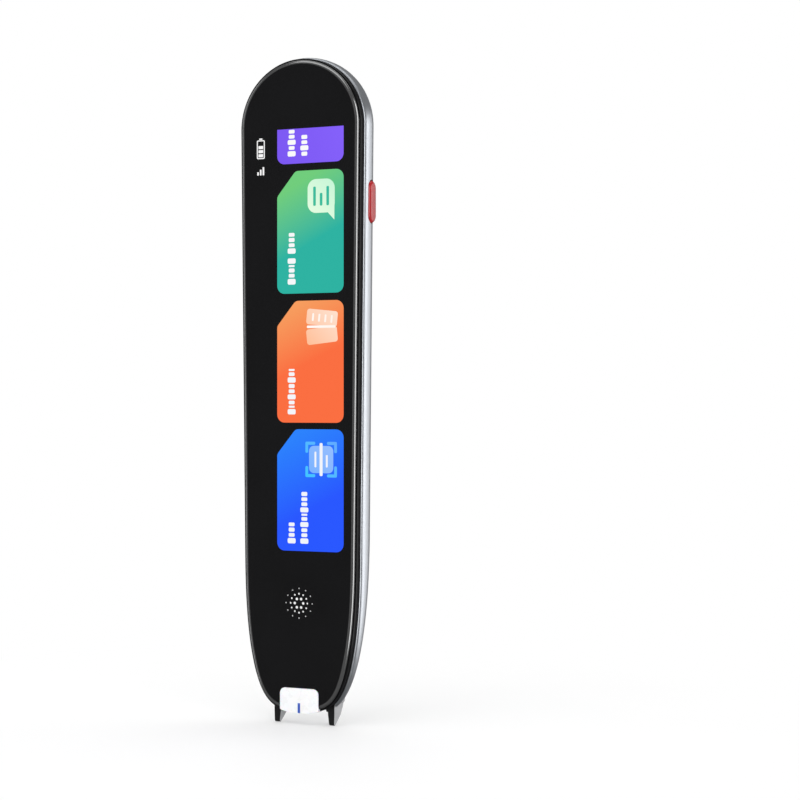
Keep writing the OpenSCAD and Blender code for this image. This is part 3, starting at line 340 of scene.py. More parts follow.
def mesh_object(name, shell):
    """A mesh object in the frame, with its faces turned outwards."""
    verts, faces = shell
    mesh = bpy.data.meshes.new(name)
    mesh.from_pydata(to_frame(verts).tolist(), [], [list(map(int, f)) for f in faces])
    bm = bmesh.new()
    bm.from_mesh(mesh)
    bmesh.ops.recalc_face_normals(bm, faces=bm.faces)
    bm.to_mesh(mesh)
    bm.free()
    return placed(name, mesh)


def baked(obj):
    """Applies an object's modifiers to its mesh."""
    bpy.context.view_layer.update()
    evaluated = obj.evaluated_get(bpy.context.evaluated_depsgraph_get())
    mesh = bpy.data.meshes.new_from_object(evaluated)
    obj.modifiers.clear()
    obj.data = mesh
    return obj


def carve(obj, *tools, keep_inside=False):
    """Takes tool shells that don't overlap out of an object, or keeps what is inside them."""
    tool = mesh_object("tool", joined(*tools))
    cut = obj.modifiers.new("carve", "BOOLEAN")
    cut.operation = "INTERSECT" if keep_inside else "DIFFERENCE"
    cut.solver = "EXACT"
    cut.object = tool
    baked(obj)
    bpy.data.objects.remove(tool)


def soften(obj, width):
    """Rounds the edges at which an object's surface turns by more than SOFTEN_FROM degrees."""
    bm = bmesh.new()
    bm.from_mesh(obj.data)
    bmesh.ops.remove_doubles(bm, verts=bm.verts, dist=0.001 * MM)
    bmesh.ops.dissolve_limit(bm, angle_limit=math.radians(0.5), verts=bm.verts, edges=bm.edges)
    bm.to_mesh(obj.data)
    bm.free()
    bevel = obj.modifiers.new("soften", "BEVEL")
    bevel.width = width * MM
    bevel.segments = 2
    bevel.limit_method = "ANGLE"
    bevel.angle_limit = math.radians(SOFTEN_FROM)
    bevel.use_clamp_overlap = True
    return baked(obj)


def softened_copy(node, name, width):
    """A copy of a node's mesh with rounded edges."""
    return soften(placed(name, frame["nodes"][node].data.copy()), width)


def dress(obj, slot, node=None, look=None, body="casing", sharp=32):
    """Gives a piece its material, shading and body, and hides the node that it stands for, if any.

    look names the material where it isn't the slot's."""
    obj.data.materials.clear()
    obj.data.materials.append(MATERIALS[look or slot])
    obj.data.shade_smooth()
    obj.data.set_sharp_from_angle(angle=math.radians(sharp))
    normals = obj.modifiers.new("normals", "WEIGHTED_NORMAL")
    normals.keep_sharp = True
    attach(obj, body)
    if node:
        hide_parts(node)


# ---- outlines in [x, h] ----

def corner(cx, cy, r, start, end, steps=8):
    """Points of an arc round (cx, cy), angles in degrees."""
    a = np.radians(np.linspace(start, end, steps + 1))
    return np.column_stack([cx + r * np.cos(a), cy + r * np.sin(a)])


def circle_loop(r, cx, ch, steps):
    a = np.linspace(0, 2 * math.pi, steps, endpoint=False)
    return np.column_stack([cx + r * np.cos(a), ch + r * np.sin(a)])


def stadium_loop(w, length, centre, steps=32):
    """Upright stadium, with points along its straight sides too."""
    r, straight = w / 2, (length - w) / 2
    right_h = np.linspace(centre - straight, centre + straight, STADIUM_ROWS + 1)[1:-1]
    return np.concatenate([
        corner(0, centre - straight, r, -180, 0, steps),
        np.column_stack([np.full(len(right_h), r), right_h]),
        corner(0, centre + straight, r, 0, 180, steps),
        np.column_stack([np.full(len(right_h), -r), right_h[::-1]]),
    ])


def box_loop(x0, x1, h0, h1, r):
    """Rectangle with round corners, with radii [low left, low right, top right, top left]."""
    a, b, c, d = [r] * 4 if np.isscalar(r) else r
    return np.concatenate([
        corner(x0 + a, h0 + a, a, 180, 270),
        corner(x1 - b, h0 + b, b, 270, 360),
        corner(x1 - c, h1 - c, c, 0, 90),
        corner(x0 + d, h1 - d, d, 90, 180),
    ])


def arch_loop(half_w, low, top, r, gap=0.0):
    """Box with round upper corners, grown by a gap at its sides and top."""
    half_w, r = half_w + gap, r + gap
    return box_loop(-half_w, half_w, low, top + gap, [0.01, 0.01, r, r])


def raised(loop, d):
    """A loop of [x, h] at depth d, where d is a number or a function of x and h."""
    depth = d(loop[:, 0], loop[:, 1]) if callable(d) else np.full(len(loop), float(d))
    return np.column_stack([loop[:, 0], depth, loop[:, 1]])


def prism(loop, d0, d1):
    return loft([raised(loop, d0), raised(loop, d1)])


def block(half_w, d0, d1, h0, h1):
    loop = np.array([[-half_w, h0], [half_w, h0], [half_w, h1], [-half_w, h1]])
    return prism(loop, d0, d1)


def along_x(loop, x):
    """A loop of [d, h] in the plane at x."""
    return np.column_stack([np.full(len(loop), x), loop])


def turned(profile, centre_h, steps=64, centre_x=0.0, closed=True):
    """Shell turned round an axis along the depth from a profile of (radius, depth)."""
    rings = [raised(circle_loop(r, centre_x, centre_h, steps), d) for r, d in profile]
    return loft(rings, closed)


def rounded_edge(inset, d, r, into, steps=5):
    """(inset, depth) steps of a rounded edge that ends flat, r inwards and r deep.

    into is the direction of the solid's depth: 1 for a front face, -1 for a back face."""
    a = np.linspace(0, math.pi / 2, steps + 1)
    return [(inset + r * (1 - math.cos(t)), d + into * r * (1 - math.sin(t))) for t in a]


# ---- material helpers ----

NOISE_LOW, NOISE_HIGH = 0.3, 0.7      # where nearly all of a noise's values lie


class Nodes:
    """Short ways to add nodes to a tree. A socket is fed with a value or another node's output."""

    def __init__(self, tree):
        self.tree = tree

    def feed(self, socket, value):
        if isinstance(value, bpy.types.NodeSocket):
            self.tree.links.new(value, socket)
        else:
            socket.default_value = value

    def feed_all(self, node, sockets):
        for socket, value in sockets.items():
            self.feed(node.inputs[socket.replace("_", " ")], value)

    def node(self, kind, **sockets):
        made = self.tree.nodes.new("ShaderNode" + kind)
        self.feed_all(made, sockets)
        return made

    def maths(self, kind, operation, *values):
        """Output of a Math or VectorMath node."""
        made = self.node(kind)
        made.operation = operation
        for socket, value in zip(made.inputs, values):
            self.feed(socket, value)
        single = kind == "Math" or operation in ("LENGTH", "DOT_PRODUCT")
        return made.outputs["Value" if single else "Vector"]

    def ramp(self, value, *stops):
        """Colour that runs through stops of (place, colour)."""
        made = self.node("ValToRGB", Fac=value)
        elements = made.color_ramp.elements
        while len(elements) < len(stops):
            elements.new(0.5)
        for element, (place, colour) in zip(elements, stops):
            element.position = place
            element.color = (*colour, 1)
        return made.outputs["Color"]

    def show_mix(self, share, first, second, output):
        """Shows two shaders, mixed by share."""
        mix = self.node("MixShader", Fac=share)
        self.feed(mix.inputs[1], first)
        self.feed(mix.inputs[2], second)
        self.feed(self.tree.nodes[output].inputs["Surface"], mix.outputs["Shader"])


class Finish(Nodes):
    """A Principled material with object-space detail in its colour, roughness and bump."""

    def __init__(self, name, colour, rough, **sockets):
        self.material = bpy.data.materials.new(name)
        self.material.use_nodes = True
        super().__init__(self.material.node_tree)
        self.shader = self.tree.nodes["Principled BSDF"]
        self.colour, self.rough = colour, rough
        self.set(Base_Color=(*colour, 1), Roughness=rough, **sockets)
        self.place = self.node("TexCoord").outputs["Object"]

    def set(self, **sockets):
        self.feed_all(self.shader, sockets)
        return self

    def noise(self, per_mm, detail, stretch):
        """Noise with about per_mm features to the millimetre."""
        mapping = self.node("Mapping", Vector=self.place, Scale=stretch)
        return self.node("TexNoise", Vector=mapping.outputs["Vector"], Scale=per_mm / MM,
                         Detail=detail).outputs["Fac"]

    def vary_colour(self, amount, per_mm, detail=2.0, stretch=(1, 1, 1)):
        low, high = ([min(1, c * shade) for c in self.colour] for shade in (1 - amount, 1 + amount))
        noise = self.noise(per_mm, detail, stretch)
        return self.set(Base_Color=self.ramp(noise, (NOISE_LOW, low), (NOISE_HIGH, high)))

    def vary_rough(self, amount, per_mm, detail=3.0, stretch=(1, 1, 1)):
        low, high = max(0.0, self.rough - amount), min(1.0, self.rough + amount)
        spread = self.node("MapRange", Value=self.noise(per_mm, detail, stretch), To_Min=low,
                           To_Max=high, From_Min=NOISE_LOW, From_Max=NOISE_HIGH)
        return self.set(Roughness=spread.outputs["Result"])

    def bump(self, height_mm, per_mm, detail=2.0, stretch=(1, 1, 1)):
        bump = self.node("Bump", Strength=1.0, Distance=height_mm * MM,
                         Height=self.noise(per_mm, detail, stretch))
        return self.set(Normal=bump.outputs["Normal"])


MATERIALS = {}


def finish(name, colour, rough, colours, roughs, bumps, **sockets):
    """Adds a material, from the values for Finish's vary_colour, vary_rough and bump."""
    made = Finish(name, colour, rough, **sockets)
    made.vary_colour(*colours).vary_rough(*roughs)
    if bumps:
        made.bump(*bumps)
    MATERIALS[name] = made.material


def plastic(name, colour, rough, grain=0.004, per_mm=9.0, vary=0.08, shine=0.5, metallic=0.0):
    """Moulded plastic with a fine spark-eroded grain."""
    finish(name, colour, rough, (vary, 0.25), (0.05, 0.6), (grain, per_mm),
           Specular_IOR_Level=shine, Metallic=metallic)


def metal(name, colour, rough, stretch=(1, 1, 1), grain=0.002, per_mm=6.0):
    """Metal with a directional grain."""
    finish(name, colour, rough, (0.06, per_mm / 6, 3.0, stretch),
           (0.06, per_mm / 3, 3.0, stretch), (grain, per_mm, 2.0, stretch), Metallic=1.0)


def lens_glass():
    """Coated lens: a dark pupil, a violet ring that is painted reflection of its coating, and a
    black edge round the camera's axis.
    """
    made = Finish("lens_glass", (0.01, 0.005, 0.02), 0.04, Coat_Weight=1.0, Coat_Roughness=0.02,
                  Coat_IOR=1.65)
    axis = to_frame([[0, FULL_DEPTH, CAMERA_H]])[0]
    offset = made.maths("VectorMath", "SUBTRACT", made.place, axis)
    flat = made.maths("VectorMath", "MULTIPLY", offset, (1, 0, 1))
    share = made.maths("Math", "DIVIDE", made.maths("VectorMath", "LENGTH", flat), LENS_R * MM)
    # the violet rings in this colour are painted reflection of the lens's coating; the dark pupil
    # and black edge are its own
    made.set(Base_Color=made.ramp(
        share, (0.0, (0.002, 0.002, 0.004)), (0.35, (0.004, 0.002, 0.01)), (0.5, (0.11, 0.03, 0.2)),
        (0.68, (0.02, 0.008, 0.05)), (0.85, (0.05, 0.02, 0.12)), (1.0, (0.003, 0.003, 0.006))))
    MATERIALS["lens_glass"] = made.vary_rough(0.02, 0.5).material


def lit(name, low, high, start, end, strength=1.0):
    """Part of the lit screen, whose colour runs from low at point start to high at point end."""
    made = Finish(name, (0.004, 0.004, 0.004), 0.1, Specular_IOR_Level=0.2,
                  Emission_Strength=strength)
    start, end = to_frame([[x, 0, h] for x, h in (start, end)])
    run = Vector(end - start)
    offset = made.maths("VectorMath", "SUBTRACT", made.place, start)
    along = made.maths("VectorMath", "DOT_PRODUCT", offset, run / run.length_squared)
    made.set(Emission_Color=made.ramp(along, (0, low), (1, high)))
    MATERIALS[name] = made.vary_rough(0.03, 0.08).material


def srgb(*colour):
    """A screen colour of 0 to 255 as linear light."""
    return tuple(((c / 255 + 0.055) / 1.055) ** 2.4 for c in colour)


# black-backed glass with faint smears in its gloss
finish("front_glass", (0.004, 0.004, 0.0045), 0.06, (0.15, 0.05), (0.03, 0.08, 4.0),
       (0.0004, 0.12), Specular_IOR_Level=0.28)
plastic("black_plastic", (0.006, 0.006, 0.0065), 0.4, shine=0.25)
# silver-grey metallic paint with a fine flake under a satin clear coat
finish("shell_metal", (0.488, 0.509, 0.541), 0.31, (0.03, 12.0, 1.0), (0.02, 0.35),
       (0.0001, 16.0, 1.0), Metallic=1.0, Coat_Weight=0.1, Coat_Roughness=0.2)
plastic("dark_panel", (0.02, 0.02, 0.024), 0.2, grain=0.0005)
metal("steel", (0.55, 0.55, 0.57), 0.3, stretch=(1, 1, 8))
plastic("copper_film", (0.5, 0.25, 0.08), 0.35, grain=0.002)
plastic("board_green", (0.015, 0.13, 0.06), 0.35, grain=0.003, per_mm=3.0, vary=0.15)
plastic("chip_black", (0.02, 0.02, 0.022), 0.5)
plastic("socket_plastic", (0.7, 0.66, 0.55), 0.45)
metal("gold_contact", (0.62, 0.5, 0.3), 0.3)
metal("battery_foil", (0.6, 0.62, 0.65), 0.35, grain=0.02, per_mm=0.8)
plastic("foam_grey", (0.1, 0.1, 0.1), 0.9, grain=0.03, per_mm=5.0, vary=0.3)
plastic("wire_plastic", (0.5, 0.03, 0.03), 0.4)
plastic("speaker_mesh", (0.85, 0.85, 0.85), 0.6, grain=0.01, per_mm=12.0)
finish("island_glass", (0.005, 0.005, 0.0055), 0.09, (0.15, 0.1), (0.04, 0.15, 4.0),
       (0.0004, 0.2), Specular_IOR_Level=0.2)
plastic("trim_yellow", (0.78, 0.47, 0.05), 0.34, grain=0.0001, vary=0.04, metallic=0.5)
metal("ring_blue", (0.035, 0.26, 0.56), 0.3, grain=0.0005)
lens_glass()
plastic("contact_plastic", (0.34, 0.34, 0.35), 0.35, grain=0.002)
plastic("button_red", (0.35, 0.009, 0.013), 0.19, grain=0.0006, shine=0.6)
plastic("recess_grey", (0.015, 0.015, 0.0155), 0.5, shine=0.3)
# milky plastic that lets a little light in
finish("window_white", (0.93, 0.93, 0.94), 0.28, (0.006, 0.2), (0.05, 0.5),
       (0.0006, 4.0), Subsurface_Weight=0.25, Subsurface_Scale=0.6 * MM)
plastic("mark_blue", (0.035, 0.1, 0.5), 0.35, grain=0.001)
plastic("lamp_white", (0.85, 0.85, 0.75), 0.4)
plastic("foot_black", (0.007, 0.007, 0.0075), 0.35, grain=0.001, shine=0.4)
# the polished curve along the glass's edge, drawn with a copy of the glass that reflects far more
# than its face: a painted highlight
finish("glass_edge_painted_highlight", (0.008, 0.008, 0.009), 0.12, (0.15, 0.3), (0.03, 0.3, 4.0), None, IOR=3.0)
# dark metal for the gold contact pins: painted shade of their wells
metal("tip_painted_shade", (0.07, 0.07, 0.075), 0.4, grain=0.0005)
# grey copy of the white window plastic for the nose window's rear part: painted shade
plastic("window_painted_shade", (0.56, 0.56, 0.57), 0.35, grain=0.0008, vary=0.01)
plastic("pane", (0.3, 0.32, 0.34), 0.06, grain=0.0002, vary=0.02)
# light grey for the black legs' side faces: painted reflection of the side lamps
plastic("foot_side_painted_reflection", (0.33, 0.33, 0.34), 0.4, grain=0.002, vary=0.1)
# near black for rings inside the contact plate's wells: painted shade
plastic("well_painted_shade", (0.003, 0.003, 0.003), 0.6, grain=0.001, shine=0.08)
plastic("bezel_black", (0.006, 0.006, 0.007), 0.6, grain=0.001, shine=0.08)


def dress_nodes():
    """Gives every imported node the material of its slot."""
    for row in frame["record"]["subparts"]:
        obj = frame["nodes"][row["node"]]
        obj.data.materials.clear()
        look = "pane" if row["node"] == "scan_pane" else row["material_slot"]
        obj.data.materials.append(MATERIALS[look])


# ---- pieces of the front ----

def window_opening(d0, d1):
    """Prism that the nose window's opening is cut with."""
    return prism(arch_loop(WINDOW_HALF_W, -2, WINDOW_TOP, WINDOW_CORNER_R, FIT_GAP), d0, d1)


def grille_points():
    """(x, h, hole radius, depth of the mesh) of each hole in the front glass."""
    return [(x, h, hole, sunk) for r, hole, count, sunk in GRILLE_RINGS
            for x, h in circle_loop(r, 0, GRILLE_H, count)]


def glass():
    curve_steps = 10
    rings = [flat_ring(GLASS_INSET + GLASS_CURVE_W + land, 0) for land in (0.3, 0.03)]
    for k in range(curve_steps, -1, -1):
        a = math.pi / 2 * k / curve_steps
        rings.append(flat_ring(GLASS_INSET + GLASS_CURVE_W * (1 - math.cos(a)),
                               GLASS_CURVE_D * (1 - math.sin(a))))
    rings += [flat_ring(GLASS_INSET, GLASS_T - 0.05), flat_ring(GLASS_INSET + 0.05, GLASS_T)]
    obj = mesh_object("glass", skin(rings, 0, GLASS_T))
    holes = [prism(circle_loop(r, x, h, 20), -1, GLASS_T + 1) for x, h, r, sunk in grille_points()]
    carve(obj, window_opening(-1, GLASS_T + 1), *holes)
    dress(obj, "front_glass", "cover_glass", sharp=28)
    # the glass's curved edge gets the brighter copy of the glass: a painted highlight
    add_second(obj, "glass_edge_painted_highlight", near_edge(GLASS_INSET + GLASS_CURVE_W, GLASS_T))


def add_second(obj, look, chosen):
    """Gives a second material to faces that chosen(x, d, h, normal) picks."""
    obj.data.materials.append(MATERIALS[look])
    for face in obj.data.polygons:
        x, d, h = face.center / MM + Vector(ORIGIN)
        if chosen(x, d, h, face.normal):
            face.material_index = 1


def near_edge(inset, depth):
    """Picks faces within inset of the outline and at most depth deep."""
    def chosen(x, d, h, normal):
        distance, reach = from_spine(x, h)
        return 0.001 < d < depth and reach - distance < inset
    return chosen


def grille_dots():
    """Pale mesh seen in the holes of the front glass, each a low dome."""
    shells = []
    for x, h, r, sunk in grille_points():
        profile = [(r * 0.98, GLASS_T), (r * 0.98, sunk + 0.04),
                   (r * 0.7, sunk + 0.01), (r * 0.35, sunk)]
        shells.append(turned(profile, h, 18, x, closed=False))
    dress(mesh_object("grille_dots", joined(*shells)), "speaker_mesh")


def bezel():
    """Mid frame, of which a black edge with a polished lip shows round the glass."""
    lip_r = 0.22
    inner = GLASS_INSET - GLASS_GAP
    profile = [(inner, SCREEN_D), (inner, BEZEL_LIP_D + 0.04), (inner - 0.04, BEZEL_LIP_D)]
    profile += rounded_edge(BEZEL_INSET, BEZEL_LIP_D, lip_r, 1)[::-1]
    seam_d, seam_w, seam_sink, foot_r = 1.5, 0.13, 0.05, 0.06
    profile += [(BEZEL_INSET, seam_d), (BEZEL_INSET + seam_sink, seam_d + 0.03),
                (BEZEL_INSET + seam_sink, seam_d + seam_w - 0.03), (BEZEL_INSET, seam_d + seam_w)]
    profile += [(BEZEL_INSET, RIM_DEPTH - foot_r), (BEZEL_INSET + foot_r, RIM_DEPTH)]
    profile += [(SKIRT_INSET, RIM_DEPTH), (SKIRT_INSET, SKIRT_DEPTH)]
    profile += [(SKIRT_INSET + SKIRT_T, SKIRT_DEPTH), (SKIRT_INSET + SKIRT_T, DECK_D)]
    rings = [flat_ring(inset, d) for inset, d in profile]
    obj = mesh_object("bezel", skin(rings, SCREEN_D, DECK_D))
    carve(obj, block(LEG_GAP_HALF_W, RIM_DEPTH, SKIRT_DEPTH + 1, -2, FOOT_ROOM_TOP))
    low, high = casing_box("display_panel")
    room = 0.3
    carve(obj, window_opening(-1, SKIRT_DEPTH + 1),
          block(high[0] + room, 0, FLOOR_D, low[2] - room, high[2] + room))
    dress(obj, "black_plastic", "mid_frame", look="bezel_black", sharp=50)
    add_second(obj, "front_glass", near_edge(BEZEL_INSET + lip_r, BEZEL_LIP_D + lip_r))


# ---- screen ----

INLAY_T = 0.01
CARD_LEFT, CARD_RIGHT, CARD_R = -6.0, 12.2, 2.0
CUT_W, CUT_H, CUT_R = 5.2, 6.2, 1.6      # the corner that is cut off a card
# labels: x, height and the blocks' sizes up the card. A size below 0 leaves a gap.
LABELS = ((-2.0, 135.6, 1.3, 0.9, 1.2, 0.9, 0.9),
          (1.5, 135.6, 1.0, 1.2, 0.9, 1.0),
          (-2.0, 104.4, 1.4, 0.9, 1.0, 0.5, 1.3, -0.5, 1.3, 0.9, 1.0, 0.9),
          (-2.0, 72.8, 1.3, 0.5, 0.9, 1.2, 0.9, 1.0, 1.3, 0.9, 0.5),
          (-2.0, 41.4, 1.3, 0.9, 1.0, 0.9),
          (1.5, 41.4, 1.3, 0.9, 0.9, 1.2, 0.9, 0.5, 1.2, 0.9, 0.9, 1.0))
LARGE_BLOCK, LARGE_HALF_W, SMALL_HALF_W, BLOCK_GAP = 1.1, 1.1, 0.8, 0.32
ICON_X = 6.1


def inlay(name, loops, look, level=1):
    """Thin shapes that lie on the glass, level layers up."""
    shells = [prism(loop, -INLAY_T * level, 0.01) for loop in loops]
    dress(mesh_object(name, joined(*shells)), "dark_panel", look=look)


def cut_card(low, high):
    """Card outline with round corners, whose top left corner is cut off at a slant."""
    slant = math.degrees(math.atan2(CUT_H, CUT_W))
    return np.concatenate([
        corner(CARD_LEFT + CARD_R, low + CARD_R, CARD_R, 180, 270),
        corner(CARD_RIGHT - CARD_R, low + CARD_R, CARD_R, 270, 360),
        corner(CARD_RIGHT - CARD_R, high - CARD_R, CARD_R, 0, 90),
        corner(CARD_LEFT + CUT_W + CUT_R * 0.4, high - CUT_R, CUT_R, 90, 90 + slant),
        corner(CARD_LEFT + CUT_R, high - CUT_H - CUT_R * 0.3, CUT_R, 90 + slant, 180),
    ])


def turned_loop(loop, centre, degrees):
    """A loop turned round a point."""
    a = math.radians(degrees)
    turn = np.array([[math.cos(a), math.sin(a)], [-math.sin(a), math.cos(a)]])
    return (loop - centre) @ turn + centre


def ring_loops(loop_out, loop_in):
    """One outline that goes round a ring and back along its inside."""
    return np.concatenate([loop_out, loop_out[:1], loop_in[:1], loop_in[::-1]])


def icon_box(left, right, low, high, r):
    """Box whose sides are given from the icons' middle line."""
    return box_loop(ICON_X + left, ICON_X + right, low, high, r)


def label(x, h, *sizes):
    """Row of plain blocks in place of a label, which runs up a card."""
    blocks = []
    for size in sizes:
        half_w = LARGE_HALF_W if size > LARGE_BLOCK else SMALL_HALF_W
        if size > 0:
            blocks.append(box_loop(x - half_w, x + half_w, h, h + size, min(size, 1.4) * 0.3))
        h += abs(size) + BLOCK_GAP
    return blocks


def cards():
    r = CARD_R
    for name, loop, low, high, start, end in (
            ("card_violet", box_loop(CARD_LEFT, CARD_RIGHT, 133.8, 142.3, [r, r, 0.02, 0.02]),
             srgb(121, 84, 241), srgb(131, 94, 250), (CARD_LEFT, 134), (CARD_RIGHT, 142)),
            ("card_green", cut_card(102.2, 132.0),
             srgb(110, 204, 122), srgb(38, 177, 160), (-4, 127), (2.5, 114)),
            ("card_orange", cut_card(70.8, 100.4),
             srgb(246, 156, 92), srgb(250, 108, 60), (-2, 99), (4, 86)),
            ("card_blue", cut_card(39.6, 69.2),
             srgb(36, 128, 252), srgb(32, 84, 254), (-4, 66), (4, 50))):
        lit(name, low, high, start, end)
        inlay(name, [loop], name)


def labels():
    """Labels, and the battery and signal signs: body, level bars, cap and rising bars."""
    rows = [loop for row in LABELS for loop in label(*row)]
    cell = ring_loops(box_loop(-11.7, -9.5, 135.4, 140.0, 0.35),
                      box_loop(-11.45, -9.75, 135.65, 139.75, 0.2))
    level = [box_loop(-11.25, -9.95, 135.85 + k, 135.85 + k + 0.75, 0.1) for k in range(3)]
    cap = box_loop(-11.05, -10.15, 140.1, 140.45, 0.12)
    signal = [box_loop(x, x + 0.45, 131.4, top, 0.1)
              for x, top in ((-11.6, 132.2), (-10.85, 132.8), (-10.1, 133.4))]
    inlay("labels", rows + [cell, cap] + level + signal, "screen_white", 2)


def bubble_icon():
    lit("icon_green", srgb(228, 252, 224), srgb(196, 244, 214), (3, 122), (10, 130))
    lit("icon_teal", srgb(62, 190, 150), srgb(40, 180, 160), (3, 122), (10, 130))
    low, high, half, r = 121.6, 129.8, 3.7, 2.3
    tail = np.concatenate([corner(ICON_X + 1.4, 123.9, r, -80, -15), [[ICON_X + 3.6, 119.8]]])
    inlay("icon_bubble", [icon_box(-half, half, low, high, r), tail], "icon_green", 2)
    lines = [icon_box(dx - 0.36, dx + 0.36, 123.3, top, 0.3)
             for dx, top in ((-1.8, 128.0), (0.0, 126.4), (1.8, 128.0))]
    inlay("icon_bubble_lines", lines, "icon_teal", 3)


def book_icon():
    lit("icon_orange", srgb(255, 190, 150), srgb(255, 224, 204), (2, 90), (10, 98))
    lit("icon_cream", (1, 1, 1), srgb(255, 240, 228), (2, 90), (10, 98))
    fold, lean, half = (ICON_X, 94.0), 6, 4.2
    left_page = turned_loop(icon_box(-half, half, 90.0, 93.8, 0.7), fold, lean)
    right_page = turned_loop(icon_box(-half, half, 94.3, 98.1, 0.7), fold, -lean)
    inlay("icon_book", [left_page, right_page], "icon_orange", 2)
    lines = [turned_loop(icon_box(-2.7 + 1.7 * k, -2.2 + 1.7 * k, 95.2, 97.1, 0.2), fold, -lean)
             for k in range(4)]
    spine = icon_box(-3.9, 3.9, 93.75, 94.35, 0.25)
    inlay("icon_book_lines", [spine] + lines, "icon_cream", 3)


def scan_icon():
    lit("icon_sky", srgb(64, 196, 255), srgb(96, 170, 255), (2, 58), (10, 66))
    lit("icon_blue", srgb(116, 176, 255), srgb(150, 190, 255), (2, 58), (10, 66))
    half, low, high, margin = 4.3, 57.6, 66.2, 1.0
    x0, x1 = ICON_X - half, ICON_X + half
    page = icon_box(margin - half, half - margin, low + margin, high - margin, 1.3)
    inlay("icon_screen", [page], "icon_blue", 2)
    arm, band = 2.7, 0.75
    brackets = []
    for x, toward_x in ((x0, 1), (x1, -1)):
        for h, toward_h in ((low, 1), (high, -1)):
            for reach_x, reach_h in ((band, arm), (arm, band)):
                brackets.append(box_loop(*sorted((x, x + toward_x * reach_x)),
                                         *sorted((h, h + toward_h * reach_h)), band * 0.45))
    inlay("icon_brackets", brackets, "icon_sky", 3)
    lines = [icon_box(-0.4, 0.4, low + 0.3, high - 0.3, 0.3),
             icon_box(1.3, 1.8, low + 2.4, high - 3.2, 0.2),
             icon_box(-1.8, -1.3, low + 2.4, high - 2.4, 0.2)]
    inlay("icon_scan_line", lines, "screen_white", 4)


def screen():
    lit("screen_white", (1, 1, 1), (0.93, 0.95, 1.0), (0, 130), (0, 60), 0.95)
    cards()
    labels()
    bubble_icon()
    book_icon()
    scan_icon()


# ---- rear shell and island ----

def rear_casing():
    side_steps, back_steps, inner_steps = 8, 40, 12
    half_turn = math.pi / 2
    outer = [side_ring(k / side_steps, 0) for k in range(side_steps)]
    outer += [back_ring(half_turn * k / back_steps, 0, True) for k in range(back_steps)]
    inner = [back_ring(half_turn * k / inner_steps, WALL, False) for k in range(inner_steps)][::-1]
    inner += [side_ring(0.5, WALL), side_ring(0, WALL)]
    rim = [side_ring(0, 0.06)]
    shell = skin(inner + rim + outer, back_spine(WALL, False), back_spine(0, True))
    obj = mesh_object("rear_casing", shell)
    slot = stadium_loop(BUTTON_W + 2 * BUTTON_SLOT_GAP, BUTTON_LEN + 2 * BUTTON_SLOT_GAP, BUTTON_H)
    slot_rings = [along_x(slot + [BUTTON_D, 0], x) for x in (BUTTON_FACE - 4, BUTTON_FACE + 1)]
    frame_hole = arch_loop(FRAME_HALF_W, -2, FRAME_TOP, FRAME_CORNER_R, FIT_GAP)
    island_hole = stadium_loop(ISLAND_W, ISLAND_LEN, ISLAND_H)
    carve(obj, loft(slot_rings), prism(island_hole, LEDGE_D, TRIM_D + 1),
          prism(frame_hole, 2.0, FULL_DEPTH + 1))
    ledge_w, foot_room_d = 0.45, 5.72
    hole_w = casing_box("camera_window")[1][0] * 2 - 2 * ledge_w
    ledge_hole = stadium_loop(hole_w, ISLAND_LEN - ISLAND_W + hole_w, ISLAND_H)
    carve(obj, prism(ledge_hole, FULL_DEPTH - 3, LEDGE_D + 0.2),
          block(LEG_GAP_HALF_W, -0.5, FULL_DEPTH + 0.5, -1.5, LEG_GAP_TOP))
    carve(obj, block(LEG_GAP_HALF_W - 0.001, -0.4, foot_room_d, -1.4, FOOT_ROOM_TOP))
    dress(obj, "shell_metal", "rear_shell")


def stadium_rings(w, length, centre, profile):
    """Rings of a stadium that is inset and set back by the steps of a profile."""
    return [raised(stadium_loop(w - 2 * inset, length - 2 * inset, centre), d)
            for inset, d in profile]


def island():
    trim_w = 0.65
    profile = [(0.05, LEDGE_D)] + rounded_edge(0.05, TRIM_D, 0.16, -1)
    profile += rounded_edge(-trim_w, TRIM_D, 0.12, -1)[::-1]
    profile = [(abs(s), d) for s, d in profile] + [(trim_w, LEDGE_D)]
    rings = stadium_rings(ISLAND_W, ISLAND_LEN, ISLAND_H, profile)
    trim = mesh_object("trim", loft(rings, closed=True))
    dress(trim, "trim_yellow", "island_trim", sharp=60)

    low, high = casing_box("camera_window")
    groove_d, groove_w = 0.12, 0.3
    profile = [(0.02, LEDGE_D), (0.02, ISLAND_D - groove_d), (groove_w, ISLAND_D - groove_d)]
    profile += [(groove_w + 0.02, ISLAND_D - 0.05), (groove_w + 0.07, ISLAND_D),
                (groove_w + 0.5, ISLAND_D)]
    rings = stadium_rings(high[0] - low[0], high[2] - low[2], ISLAND_H, profile)
    window = mesh_object("island_window", loft(rings))
    gap = 0.03
    holes = (circle_loop(RING_R + gap, 0, CAMERA_H, 64),
             stadium_loop(CONTACT_W + 2 * gap, CONTACT_LEN + 2 * gap, CONTACT_H))
    carve(window, *[prism(hole, LEDGE_D - 1, ISLAND_D + 1) for hole in holes])
    dress(window, "island_glass", "camera_window")


